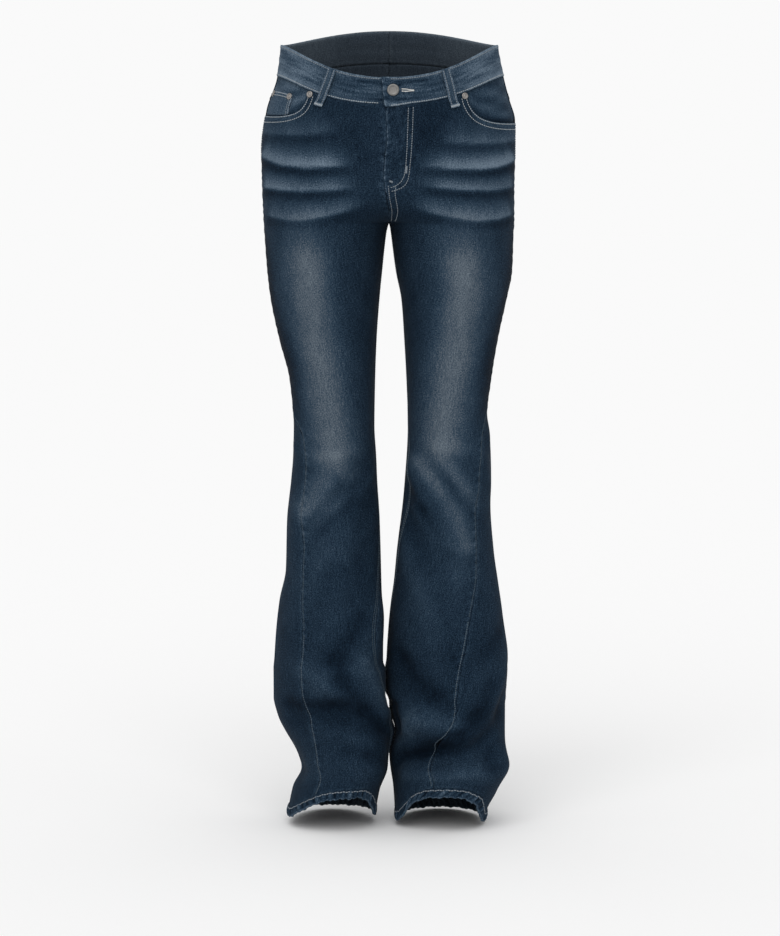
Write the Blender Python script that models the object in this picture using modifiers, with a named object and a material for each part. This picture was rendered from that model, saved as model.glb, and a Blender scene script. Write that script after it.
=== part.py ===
"""Low-rise flared jeans, standing as they hang when they are worn, with nothing inside.

The garment is one smooth surface, from which every cloth piece is cut. A place on that surface is
a pair (p, level). p runs round one half of the garment: -1 at the centre front seam and, lower
down, at the inseam, 0 at the side seam, and 1 at the centre back seam and the inseam again.
level runs down it: 0 at the waist edge, and the height in millimetres everywhere that the waist
and the hem aren't curved. Left and right are the wearer's own, so left is +X. The front is -Y.
"""

import math

import bmesh
import bpy
import numpy as np
from mathutils import Matrix

# Cloth and seams, in millimetres
CLOTH = 1.2
SEAM_GAP = 0.4
BAND_WALL = 2.4
BAND_STANDS_OUT = 0.6
FACING_INSET = 2.8
PATCH_WALL = 1.0
PATCH_GAP = 0.5
HEM_WALL = 3.2
HEM_STANDS_OUT = 1.0

# Heights of the garment, in millimetres below the waist edge at the side
BAND_HEIGHT = 43.0
WAIST_FLAT = 190.0
FRONT_RISE_TURN = 195.0
BACK_RISE_TURN = 150.0
CROTCH = 244.0
FLARE_TOP = 492.0
HEM_HEIGHT = 13.0
HEM_CURVE_TOP = 960.0

# How the waist edge dips at the front and climbs at the back
FRONT_DIP = 46.0
BACK_CLIMB = 22.0
WAIST_POWER = 2.5

BAND_END_TOP = 7.2
BAND_END_BOTTOM = 3.2
END_DROOP = 5.0
END_LIFT = 2.2
UNDERLAP = 30.0
UNDERLAP_GAP = 0.5
LOOP_WIDTH = 12.0
LOOP_WALL = 1.6
LOOP_BOW = 3.2
LOOP_BOTTOM = 62.0
BUTTON_RADIUS = 8.2
SHANK_RADIUS = 2.0
BUTTON_P = -0.985
BUTTON_LEVEL = -19.0
HOLE_END_P = -0.875
HOLE_END_LEVEL = -23.0
HOLE_WIDTH = 5.2
RIVET_RADIUS = 4.7

# How far the columns of the cloth stay upright on the seat and thigh, against an even spread
UPRIGHT = 2.0
UPRIGHT_ENDS = 430.0

# How many columns each panel has, and the power that draws them together towards the crotch
FRONT_COLUMNS = (14, 1.15)
FLARE_COLUMNS = (4, 1.0)
BACK_COLUMNS = (11, 1.2)

FOLD_SCALE = 200.0  # millimetres round the leg for one unit of p, for the folds
OUTLINE_KEPT = 0.5  # the folds die away next to the side seam and the inseam, below this sine of p

BODY_COLUMNS = ("z", "front", "back", "square")
BODY = (
    (20, -86, 88, 2.15),
    (0, -88, 92, 2.15),
    (-50, -96, 104, 2.2),
    (-100, -102, 117, 2.25),
    (-150, -104, 126, 2.25),
    (-200, -104, 126, 2.15),
    (-244, -101, 116, 2.05),
    (-300, -98, 99, 2.0),
    (-370, -91, 85, 2.0),
    (-440, -83, 73, 2.0),
    (-520, -74, 62, 2.0),
    (-570, -71, 59, 2.0),
    (-640, -68, 64, 2.0),
    (-720, -71, 74, 2.0),
    (-820, -76, 85, 2.0),
    (-900, -79, 92, 2.0),
    (-950, -77, 95, 2.0),
    (-1000, -72, 99, 2.0),
    (-1040, -76, 103, 2.0),
    (-1100, -80, 108, 2.0),
)

# Reach of each leg from the centre line, read from its outline; inner is 0 above the crotch
LEG_COLUMNS = ("z", "inner", "outer")
LEGS = {
    "right": (
        (20, 0, 147),
        (0, 0, 149),
        (-45, 0, 155),
        (-90, 0, 170),
        (-145, 0, 177),
        (-200, 0, 176),
        (-235, 0.4, 174.4),
        (-244, 1.1, 174),
        (-258, 4, 173),
        (-311, 10, 169),
        (-352, 14, 164),
        (-408, 18, 152),
        (-464, 20, 138),
        (-527, 21, 133),
        (-569, 18.5, 134),
        (-604, 17, 137),
        (-661, 13, 143),
        (-730, 11, 145),
        (-774, 10, 154),
        (-817, 8.5, 159),
        (-860, 8.2, 162),
        (-871, 4.6, 163),
        (-895, 4.2, 163),
        (-907, 6.5, 163),
        (-914, 6.2, 163),
        (-921, 4.0, 162),
        (-929, -1.5, 160),
        (-945, -5.5, 155),
        (-959, -9.2, 148),
        (-995, 0.6, 129),
        (-1014, 3, 124),
        (-1045, 14, 137),
        (-1083, 19.5, 143),
        (-1100, 20, 143),
    ),
    "left": (
        (20, 0, 148),
        (0, 0, 150),
        (-45, 0, 159),
        (-75, 0, 167),
        (-104, 0, 175),
        (-150, 0, 175),
        (-200, 0, 174),
        (-235, 0.4, 174),
        (-244, 1.1, 174),
        (-258, 3, 173),
        (-311, 10, 171),
        (-352, 18, 163),
        (-408, 22, 151),
        (-464, 25, 142),
        (-509, 26.5, 137),
        (-540, 26, 141),
        (-604, 22, 143),
        (-633, 19.5, 142),
        (-703, 11, 147),
        (-746, 7, 153),
        (-788, 1.5, 159),
        (-845, -2.5, 165),
        (-860, -3.2, 165),
        (-871, -4.8, 166),
        (-895, -4.9, 166),
        (-907, -4.2, 165),
        (-914, -1.0, 165),
        (-921, 0.8, 164),
        (-929, 1.0, 164),
        (-945, 4.8, 164),
        (-959, 8.4, 164),
        (-990, 0.4, 165),
        (-1007, 1.5, 167),
        (-1045, 7, 153),
        (-1078, 9, 138),
        (-1100, 10, 136),
    ),
}

# How far each section is turned about the leg, in degrees, so that the legs pass without touching
TURN_COLUMNS = ("z", "degrees")
TURN = ((-700, 0), (-800, 10), (-1000, 10), (-1085, 0))

# The hem: its height at the side seam, its drop at the back, and its rise over the foot at each p
HEM_SIDE = {"right": 1082.0, "left": 1088.0}
BACK_DROP = {"right": 6.0, "left": 3.0}
HEM_COLUMNS = ("p", "right", "left")
HEM_RISE = (
    (-1.0, 0, 0),
    (-0.93, 3, 2),
    (-0.87, 13, 6),
    (-0.8, 25, 19),
    (-0.73, 33.5, 36),
    (-0.64, 39.5, 45),
    (-0.51, 39.0, 47.5),
    (-0.44, 37.0, 46),
    (-0.38, 33.5, 41),
    (-0.31, 26, 34),
    (-0.2, 12, 15),
    (-0.1, 2, 1),
    (0.0, 0, 0),
)

# Where the seams of the legs lie, as p
SEAM_COLUMNS = ("z", "right", "left")
FLARE_SEAM = (
    (-492, 0.0, 0.0),
    (-515, -0.13, -0.12),
    (-540, -0.23, -0.21),
    (-590, -0.27, -0.26),
    (-720, -0.28, -0.29),
    (-780, -0.32, -0.355),
    (-820, -0.34, -0.395),
    (-880, -0.34, -0.44),
    (-930, -0.35, -0.46),
    (-950, -0.345, -0.51),
    (-972, -0.335, -0.6),
    (-1035, -0.32, -0.62),
    (-1100, -0.31, -0.62),
)
INSEAM = (
    (-244, 1.0, 1.0),
    (-500, 1.0, 0.99),
    (-590, 0.99, 0.87),
    (-650, 0.97, 0.9),
    (-750, 0.88, 0.95),
    (-820, 0.8, 0.98),
    (-890, 0.88, 0.99),
    (-960, 0.98, 1.0),
    (-1100, 1.0, 1.0),
)

# How far the left front laps over the centre, as p
FLY_COLUMNS = ("z", "over")
FLY = (
    (-43, 0.009),
    (-110, 0.006),
    (-150, 0.014),
    (-180, 0.018),
    (-205, 0.013),
    (-232, 0.0),
    (-1100, 0.0),
)

# Folds: a ridge or, with a negative height, a trough along a line from one place to another
FOLD_COLUMNS = ("from_p", "from_z", "to_p", "to_z", "width", "height")
FOLDS = {
    "right": (
        (-0.55, -575, -0.22, -660, 20, 4.0),
        (-0.75, -590, -0.35, -690, 24, -4.0),
        (0.0, -507, -0.1, -515, 9, 3.0),
        (0.0, -551, -0.12, -556, 9, 3.0),
        (-0.8, -640, -0.62, -760, 22, -4.0),
        (-0.85, -790, -0.45, -905, 30, 5.0),
        (-0.25, -935, -0.5, -925, 22, -8.0),
        (-0.5, -925, -0.9, -965, 24, -9.0),
        (-0.45, -880, -0.8, -915, 20, 6.0),
        (-0.2, -1005, -0.75, -990, 24, 5.0),
        (0.1, -1005, 0.5, -960, 26, -8.0),
        (0.5, -960, 0.9, -925, 24, -6.0),
        (0.2, -940, 0.7, -890, 30, 6.0),
        (0.25, -560, 0.75, -545, 18, -4.5),
        (0.3, -600, 0.75, -585, 18, 3.5),
        (0.35, -520, 0.7, -508, 16, -3.5),
        (0.45, -268, 0.9, -285, 14, -3.0),
        (0.55, -300, 0.92, -322, 16, -2.5),
    ),
    "left": (
        (-0.85, -585, -0.42, -690, 20, 5.0),
        (-0.9, -620, -0.6, -715, 22, -5.0),
        (-0.6, -560, -0.3, -610, 18, 3.5),
        (0.0, -540, -0.1, -545, 9, 2.5),
        (-0.25, -570, 0.05, -650, 18, 3.0),
        (-0.85, -860, -0.6, -925, 22, -5.0),
        (-0.95, -915, -0.5, -962, 20, 7.0),
        (-0.95, -1000, -0.62, -985, 18, -10.0),
        (-0.62, -985, -0.35, -975, 20, -12.0),
        (-0.35, -975, -0.08, -915, 24, -8.0),
        (-0.3, -900, -0.05, -850, 24, 4.0),
        (-0.1, -1000, -0.55, -1015, 22, 6.0),
        (0.1, -985, 0.55, -950, 26, -9.0),
        (0.55, -950, 0.92, -975, 24, -7.0),
        (0.25, -925, 0.75, -890, 30, 6.0),
        (0.25, -555, 0.75, -560, 18, -4.5),
        (0.3, -598, 0.72, -604, 18, 3.5),
        (0.35, -516, 0.7, -512, 16, -3.5),
        (0.45, -270, 0.9, -288, 14, -3.0),
        (0.55, -304, 0.92, -325, 16, -2.5),
    ),
}

SIDES = {"left": 1.0, "right": -1.0}

# Front pockets: where the opening starts at the waistband, how deep it is and how square it curves
SCOOP_P = {"left": 0.585, "right": 0.555}
SCOOP_DEPTH = {"left": 64.0, "right": 54.0}
SCOOP_SQUARE = 0.6
FACING_P = 0.66
FACING_DEPTH = 76.0
COIN_INNER_P = 0.42
COIN_OUTER_P = 0.06
COIN_TOP_INNER = 59.0
COIN_TOP_OUTER = 63.0

YOKE_SIDE = 74.0
YOKE_CENTRE = 112.0
# Rows and columns of the back panel that its pocket covers, and how far its lower corners are raised
BACK_POCKET_ROWS = (1, 11)
BACK_POCKET_COLUMNS = (3, 9)
BACK_POCKET_CORNERS = 0.9

COLOURS = {
    "denim": ((0.035, 0.075, 0.125, 1.0), 0.9, 0.0),
    "washed_denim": ((0.06, 0.11, 0.16, 1.0), 0.9, 0.0),
    "hem_denim": ((0.08, 0.12, 0.19, 1.0), 0.9, 0.0),
    "silver_metal": ((0.5, 0.48, 0.46, 1.0), 0.35, 1.0),
}


def smooth_step(value):
    """0 below 0, 1 above 1 and smooth in between."""
    t = np.clip(value, 0.0, 1.0)
    return t * t * (3 - 2 * t)


def column_of(rows, columns, name):
    """A function of the first column that passes smoothly through another one, with no overshoot."""
    ordered = sorted(rows)
    z = np.array([row[0] for row in ordered], float)
    v = np.array([row[columns.index(name)] for row in ordered], float)
    slope = np.diff(v) / np.diff(z)
    ease = np.zeros(len(z))
    same_way = slope[1:] * slope[:-1] > 0
    after, before = slope[1:], slope[:-1]
    mean = 2 * after * before / np.maximum(np.abs(after) + np.abs(before), 1e-12)
    ease[1:-1] = np.where(same_way, mean * np.sign(after), 0)

    def value(at):
        at = np.clip(at, z[0], z[-1])
        i = np.clip(np.searchsorted(z, at) - 1, 0, len(z) - 2)
        width = z[i + 1] - z[i]
        t = (at - z[i]) / width
        height_part = v[i] + (v[i + 1] - v[i]) * smooth_step(t)
        slope_part = t * (1 - t) ** 2 * ease[i] - t * t * (1 - t) * ease[i + 1]
        return height_part + slope_part * width

    return value


BODY_AT = {name: column_of(BODY, BODY_COLUMNS, name) for name in BODY_COLUMNS[1:]}
TURN_AT = column_of(TURN, TURN_COLUMNS, "degrees")
HEM_RISE_AT = {side: column_of(HEM_RISE, HEM_COLUMNS, side) for side in SIDES}
LEG_AT = {
    side: {name: column_of(rows, LEG_COLUMNS, name) for name in LEG_COLUMNS[1:]}
    for side, rows in LEGS.items()
}
FLARE_SEAM_AT = {side: column_of(FLARE_SEAM, SEAM_COLUMNS, side) for side in SIDES}
FLY_AT = column_of(FLY, FLY_COLUMNS, "over")
INSEAM_AT = {side: column_of(INSEAM, SEAM_COLUMNS, side) for side in SIDES}


def height(side, p, level):
    """The z of a place, in millimetres: the waist dips at the front, and the hem rises over the foot."""
    hem = HEM_SIDE[side]
    round_waist = np.abs(np.sin(np.pi / 2 * p)) ** WAIST_POWER
    waist = np.where(p < 0, -FRONT_DIP, BACK_CLIMB) * round_waist * smooth_step(1 + level / WAIST_FLAT)
    toe = np.where(p < 0, HEM_RISE_AT[side](p), -BACK_DROP[side] * np.sin(np.pi * p) ** 2)
    return level + waist + toe * smooth_step((-level - HEM_CURVE_TOP) / (hem - HEM_CURVE_TOP))


def wrapped(p, z):
    """On a leg, p past the inseam carries on at the other side of it."""
    p = np.where((z < -CROTCH) & (p > 1), p - 2, p)
    return np.where((z < -CROTCH) & (p < -1), p + 2, p)


def bare_surface(side, p, level):
    """Points of the garment without its folds, in millimetres, with x outward from the centre line."""
    p, level = np.broadcast_arrays(np.asarray(p, float), np.asarray(level, float))
    p = wrapped(p, level)
    z = height(side, p, level)
    front, back, square = (BODY_AT[name](z) for name in BODY_COLUMNS[1:])
    inner, outer = (LEG_AT[side][name](z) for name in LEG_COLUMNS[1:])
    turn = np.where(p < 0, FRONT_RISE_TURN, BACK_RISE_TURN)
    closing = np.clip((-z - turn) / (CROTCH - turn), 0, 1)
    half = (outer - inner) / (1 + closing)
    end = np.arccos(-(closing ** (square / 2)))
    upright = 1 + UPRIGHT * smooth_step((UPRIGHT_ENDS + z) / (UPRIGHT_ENDS - CROTCH))
    angle = np.pi / 2 * np.abs(p) + (end - np.pi / 2) * np.abs(p) ** upright
    turned_angle = angle + np.sign(p) * np.radians(TURN_AT(z)) * SIDES[side]
    across = np.sign(np.cos(turned_angle)) * np.abs(np.cos(turned_angle)) ** (2 / square)
    along = np.abs(np.sin(angle)) ** (2 / square)
    middle = (front + back) / 2
    y = middle + np.where(p < 0, front - middle, back - middle) * along
    return np.stack([outer - half + half * across, y, z], axis=-1)


def outward(points_at, p, level):
    """Unit normals of a surface that is given as a function of p and level."""
    step_p, step_level = 2e-3, 0.5
    round_it = points_at(p + step_p, level) - points_at(p - step_p, level)
    up_it = points_at(p, level + step_level) - points_at(p, level - step_level)
    normal = np.cross(round_it, up_it)
    return normal / np.linalg.norm(normal, axis=-1, keepdims=True)


def fold_height(side, p, z):
    """How far the folds push the cloth out at each place."""
    total = np.zeros(np.shape(p))
    place = np.stack([np.asarray(p) * FOLD_SCALE, np.asarray(z)], axis=-1)
    for from_p, from_z, to_p, to_z, width, rise in FOLDS[side]:
        start = np.array([from_p * FOLD_SCALE, from_z])
        line = np.array([to_p * FOLD_SCALE, to_z]) - start
        share = np.clip((place - start) @ line / (line @ line), 0, 1)
        away = np.linalg.norm(place - start - share[..., None] * line, axis=-1)
        total = total + rise * np.exp(-((away / width) ** 2))
    return total * smooth_step(np.abs(np.sin(np.pi * p)) / OUTLINE_KEPT)


def surface(side, p, level, lift=0.0):
    """Points and outward normals of the folded garment, lifted off it, in millimetres."""
    p, level = np.broadcast_arrays(np.asarray(p, float), np.asarray(level, float))

    def folded(at_p, at_level):
        at_p = wrapped(at_p, at_level)
        bare = bare_surface(side, at_p, at_level)
        normal = outward(lambda a, b: bare_surface(side, a, b), at_p, at_level)
        return bare + normal * fold_height(side, at_p, bare[..., 2])[..., None]

    normal = outward(folded, p, level)
    points = folded(p, level) + normal * np.asarray(lift)[..., None]
    mirror = np.array([SIDES[side], 1, 1])
    return points * mirror, normal * mirror


def drawn_in(points, by=SEAM_GAP / 2):
    """The grid with its four edges moved in, which leaves the gap of a seam to its neighbours."""
    points = points.copy()
    for axis in (0, 1):
        rows = np.moveaxis(points, axis, 0)
        for edge, inside in ((0, 1), (-1, -2)):
            step = rows[inside] - rows[edge]
            rows[edge] += step / np.maximum(np.linalg.norm(step, axis=-1, keepdims=True), 1e-9) * by
    return points


def material(name):
    """A plain finish, made once and shared by the pieces that have it."""
    found = bpy.data.materials.get(name)
    if found:
        return found
    colour, roughness, metallic = COLOURS[name]
    made = bpy.data.materials.new(name)
    made.use_nodes = True
    shader = made.node_tree.nodes["Principled BSDF"]
    shader.inputs["Base Color"].default_value = colour
    shader.inputs["Roughness"].default_value = roughness
    shader.inputs["Metallic"].default_value = metallic
    return made


def add_object(name, mesh, finish):
    """One named node of the garment."""
    obj = bpy.data.objects.new(name, mesh)
    bpy.data.collections["jeans"].objects.link(obj)
    mesh.materials.append(material(finish))
    mesh.shade_smooth()
    return obj


def cloth(name, points, wall, finish, mirrored, closed=False):
    """A sheet of cloth through a grid of points at the middle of its wall."""
    rows, columns = points.shape[0] - 1, points.shape[1] - 1
    shape = bmesh.new()
    bmesh.ops.create_grid(shape, x_segments=columns, y_segments=rows, size=1)
    for vert in shape.verts:
        row = round((1 - vert.co.y) / 2 * rows)
        column = round((1 + vert.co.x) / 2 * columns)
        vert.co = points[row, column] / 1000
    if closed:
        bmesh.ops.remove_doubles(shape, verts=shape.verts[:], dist=1e-6)
    if mirrored:
        bmesh.ops.reverse_faces(shape, faces=shape.faces[:])
    mesh = bpy.data.meshes.new(name)
    shape.to_mesh(mesh)
    shape.free()
    obj = add_object(name, mesh, finish)
    solidify = obj.modifiers.new("wall", "SOLIDIFY")
    solidify.thickness = wall / 1000
    solidify.offset = 0
    return obj


def spread(cells, power=1.0):
    """Shares from 0 to 1, closer together at the start with a power over 1."""
    return (np.arange(cells + 1) / cells) ** power


def hem_top(side):
    return -(HEM_SIDE[side] - HEM_HEIGHT)


def lower_levels(side):
    """Levels of the rows from the top of the flare's panel down to the hem."""
    return np.concatenate([np.linspace(-FLARE_TOP, -880, 17), np.linspace(-880, hem_top(side), 11)[1:]])


def leg_levels(side, top):
    """Levels of the rows of a leg's panel from its top edge to the hem, closer where the cloth turns."""
    seat = np.linspace(top, -WAIST_FLAT, 5)
    turn = np.sin(np.radians([15, 30, 45, 60, 75, 90]))
    crotch = -FRONT_RISE_TURN - turn * (CROTCH - FRONT_RISE_TURN)
    thigh = np.linspace(-258, -FLARE_TOP, 7)
    return np.concatenate([seat, crotch, thigh, lower_levels(side)[1:]])


def panel_grid(front_edge, back_edge, shares, top=None, fade=5):
    """(p, level) of each point between two edges. A shaped top edge fades out over a few rows."""
    grid = front_edge[:, None] + (back_edge - front_edge)[:, None] * shares[None, :, None]
    if top is not None:
        left = 1 - smooth_step(np.arange(len(grid)) / fade)
        grid = grid + left[:, None, None] * (top - grid[0])[None]
    return grid


def edge(p, levels):
    return np.stack([np.broadcast_to(p, levels.shape), levels], axis=-1)


def scoop(side, share):
    """The front pocket's opening, from the waistband at share 0 to the side seam at share 1."""
    angle = np.pi / 2 * np.sin(np.pi / 2 * share)
    p = -SCOOP_P[side] * np.cos(angle) ** SCOOP_SQUARE
    level = -BAND_HEIGHT - SCOOP_DEPTH[side] * np.sin(angle) ** SCOOP_SQUARE
    return np.stack([np.where(share >= 1, 0.0, p), level], axis=-1)


def fly_edge(side, levels):
    """p of the centre front: the left front laps over the right one as far as the fly goes."""
    reach = FLY_AT(levels)
    shift = reach if side == "left" else -reach
    legs = np.where(levels < -CROTCH, inseam(side, levels), 1.0)
    return -(legs + shift)


def band_bottom(side, p):
    """Level of the waistband's seam. The end that laps over hangs a little lower."""
    droop = END_DROOP if side == "left" else 0
    return -BAND_HEIGHT - droop * smooth_step((-0.9 - p) / 0.12)


def flare_seam(side, level):
    return FLARE_SEAM_AT[side](level) - SIDES[side] * TURN_AT(level) / 180


def inseam(side, level):
    return INSEAM_AT[side](level) + SIDES[side] * TURN_AT(level) / 180


def front_grid(side):
    levels = leg_levels(side, -BAND_HEIGHT)
    side_levels = leg_levels(side, scoop(side, np.array(1.0))[1])
    outer = np.where(side_levels < -FLARE_TOP, flare_seam(side, side_levels), 0.0)
    shares = spread(*FRONT_COLUMNS)
    front_edge, back_edge = edge(fly_edge(side, levels), levels), edge(outer, side_levels)
    plain = front_edge[0, 0] + (0 - front_edge[0, 0]) * shares
    before = int(np.argmin(np.abs(plain + SCOOP_P[side])))
    reach = -SCOOP_P[side] - front_edge[0, 0]
    top_p = front_edge[0, 0] + reach * shares / shares[before]
    top = np.stack([top_p, band_bottom(side, top_p)], axis=-1)
    top[before:] = scoop(side, np.linspace(0, 1, len(shares) - before))
    return panel_grid(front_edge, back_edge, shares, top)


def front_panel(side):
    grid = front_grid(side)
    points, _ = surface(side, grid[..., 0], grid[..., 1], -CLOTH / 2)
    cloth(f"front_{side}", drawn_in(points), CLOTH, "denim", side == "right")


def flare_grid(side):
    levels = lower_levels(side)
    levels[0] += 0.15 * (levels[1] - levels[0])
    return panel_grid(edge(flare_seam(side, levels), levels), edge(0.0, levels), spread(*FLARE_COLUMNS))


def flare_panel(side):
    grid = flare_grid(side)
    points, _ = surface(side, grid[..., 0], grid[..., 1], -CLOTH / 2)
    cloth(f"flare_panel_{side}", drawn_in(points), CLOTH, "denim", side == "right")


def yoke_line(p):
    return -(YOKE_SIDE + (YOKE_CENTRE - YOKE_SIDE) * p)


def back_grid(side):
    shares = 1 - spread(*BACK_COLUMNS)[::-1]
    side_levels = leg_levels(side, -YOKE_SIDE)
    levels = leg_levels(side, -YOKE_CENTRE)
    inner = np.where(levels < -CROTCH, 2 - inseam(side, levels), 1.0)
    return panel_grid(edge(0.0, side_levels), edge(inner, levels), shares)


def back_panel(side):
    grid = back_grid(side)
    points, _ = surface(side, grid[..., 0], grid[..., 1], -CLOTH / 2)
    cloth(f"back_{side}", drawn_in(points), CLOTH, "denim", side == "right")


def yoke(side):
    shares = 1 - spread(*BACK_COLUMNS)[::-1]
    rows = np.linspace(0, 1, 4)[:, None]
    p, level = np.broadcast_arrays(shares, -BAND_HEIGHT + rows * (yoke_line(shares) + BAND_HEIGHT))
    points, _ = surface(side, p, level, -CLOTH / 2)
    cloth(f"yoke_{side}", drawn_in(points), CLOTH, "denim", side == "right")


def back_pocket(side):
    """A patch with a pointed bottom, made from the back panel's own points, moved out."""
    (top, bottom), (first, last) = BACK_POCKET_ROWS, BACK_POCKET_COLUMNS
    grid = back_grid(side)[top : bottom + 1, first : last + 1]
    points, _ = surface(side, grid[..., 0], grid[..., 1], PATCH_GAP + PATCH_WALL / 2)
    share = np.linspace(-1, 1, points.shape[1])
    raised = np.abs(share)[:, None] * BACK_POCKET_CORNERS
    points[-1] += (points[-2] - points[-1]) * raised
    cloth(f"back_pocket_{side}", points, PATCH_WALL, "denim", side == "right")


def facing_grid(side):
    p = -FACING_P + FACING_P * spread(14)
    level = np.linspace(-BAND_HEIGHT - 0.5, -BAND_HEIGHT - FACING_DEPTH, 6)
    return np.stack(np.broadcast_arrays(p[None], level[:, None]), axis=-1)


def pocket_facing(side):
    """The cloth that shows in the opening of a front pocket and carries on behind it."""
    grid = facing_grid(side)
    points, _ = surface(side, grid[..., 0], grid[..., 1], -FACING_INSET - CLOTH / 2)
    cloth(f"pocket_facing_{side}", drawn_in(points), CLOTH, "washed_denim", side == "right")


def coin_pocket():
    """The small pocket on the right facing, down to the edge of the opening that hides the rest of it."""
    p = -COIN_INNER_P + (COIN_INNER_P - COIN_OUTER_P) * spread(5)
    top = -COIN_TOP_INNER + (COIN_TOP_INNER - COIN_TOP_OUTER) * spread(5)
    share = np.linspace(0, 1, 200)
    line = scoop("right", share)
    bottom = np.interp(p, line[:, 0], line[:, 1]) + 1.2
    level = top[None] + np.linspace(0, 1, 4)[:, None] * (bottom - top)[None]
    lift = -FACING_INSET + PATCH_GAP + PATCH_WALL / 2
    points, _ = surface("right", np.broadcast_to(p, level.shape), level, lift)
    cloth("coin_pocket", points, PATCH_WALL, "washed_denim", True)


def waistband(side):
    """Half of the band. The left half laps over the right one, which goes on beneath it."""
    at_waist = np.pi / 2 * 150
    down = np.linspace(0, 1, 4)[:, None]
    reach = BAND_END_TOP + (BAND_END_BOTTOM - BAND_END_TOP) * down if side == "left" else UNDERLAP
    front = -1 - reach / at_waist
    p = front + (1 - front) * np.broadcast_to(spread(24), (4, 25))
    level = down * (band_bottom(side, p) + SEAM_GAP)
    lift = np.full(p.shape, BAND_STANDS_OUT - BAND_WALL / 2)
    if side == "left":
        lift = lift + END_LIFT * smooth_step((-0.95 - p) / 0.06)
    if side == "right":
        under = smooth_step((-0.86 - p) / 0.1)
        lift = lift - under * (BAND_WALL + UNDERLAP_GAP)
    points, _ = surface(side, p, level, lift)
    return cloth(f"waistband_{side}", drawn_in(points), BAND_WALL, "washed_denim", side == "right")


def hem(side):
    """The turned-up edge of a leg: a thicker band that rises over the foot."""
    p = np.concatenate([grid(side)[-1, :-1, 0] for grid in (front_grid, flare_grid, back_grid)])
    p = np.append(p, p[0])
    level = np.linspace(hem_top(side) - SEAM_GAP, -HEM_SIDE[side], 3)
    lift = HEM_STANDS_OUT - HEM_WALL / 2
    points, _ = surface(side, *np.broadcast_arrays(p[None], level[:, None]), lift)
    cloth(f"hem_{side}", points, HEM_WALL, "hem_denim", side == "right", closed=True)


def belt_loop(name, side, top_p, bottom_p):
    """A strip that is sewn down at both ends and bows out between them."""
    share = np.linspace(0, 1, 9)
    level = -1 - share * (LOOP_BOTTOM - 1)
    seam = BAND_HEIGHT / LOOP_BOTTOM
    bow = np.sin(np.pi * np.clip(share / seam, 0, 1)) ** 0.6
    lift = BAND_STANDS_OUT + PATCH_GAP + LOOP_WALL / 2 + (LOOP_BOW - PATCH_GAP) * np.clip(bow, 0, 1)
    half = LOOP_WIDTH / 2 / (np.pi / 2 * 150)
    middle = top_p + (bottom_p - top_p) * share
    p = middle[:, None] + np.array([-half, 0, half])
    points, _ = surface(side, *np.broadcast_arrays(p, level[:, None]), lift[:, None] + np.zeros(3))
    cloth(name, points, LOOP_WALL, "washed_denim", side == "right")


def turned(name, profile, side, p, level, lift, finish, steps=24):
    """A small round piece, turned from (radius, height) pairs and seated on the cloth at a place."""
    mesh = bpy.data.meshes.new(name)
    corners = [(radius / 1000, 0, up / 1000) for radius, up in profile]
    mesh.from_pydata(corners, [(i, i + 1) for i in range(len(corners) - 1)], [])
    obj = add_object(name, mesh, finish)
    screw = obj.modifiers.new("turn", "SCREW")
    screw.axis = "Z"
    screw.steps = screw.render_steps = steps
    screw.use_merge_vertices = True
    screw.merge_threshold = 0.00005
    points, normals = surface(side, np.array([p]), np.array([level]), lift)
    place, normal = points[0] / 1000, normals[0]
    up = np.array([0, 0, 1.0])
    across = np.cross(up, normal)
    across /= np.linalg.norm(across)
    above = np.cross(normal, across)
    obj.matrix_world = matrix_of(across, above, normal, place)
    return obj


def matrix_of(x, y, z, place):
    return Matrix(
        (
            (x[0], y[0], z[0], place[0]),
            (x[1], y[1], z[1], place[1]),
            (x[2], y[2], z[2], place[2]),
            (0, 0, 0, 1),
        )
    )


def button():
    """A plain tack button. Its shank goes down through the buttonhole to the band beneath."""
    foot = BAND_STANDS_OUT - BAND_WALL - UNDERLAP_GAP + 0.3
    profile = (
        (0, 4.4),
        (BUTTON_RADIUS - 3.2, 4.4),
        (BUTTON_RADIUS - 2.4, 4.9),
        (BUTTON_RADIUS - 1.2, 4.9),
        (BUTTON_RADIUS, 4.1),
        (BUTTON_RADIUS, 3.3),
        (BUTTON_RADIUS - 1.4, 2.4),
        (SHANK_RADIUS, 2.4),
        (SHANK_RADIUS, foot),
        (0, foot),
    )
    turned("button", profile, "left", BUTTON_P, BUTTON_LEVEL, 0.0, "silver_metal", steps=32)


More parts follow.
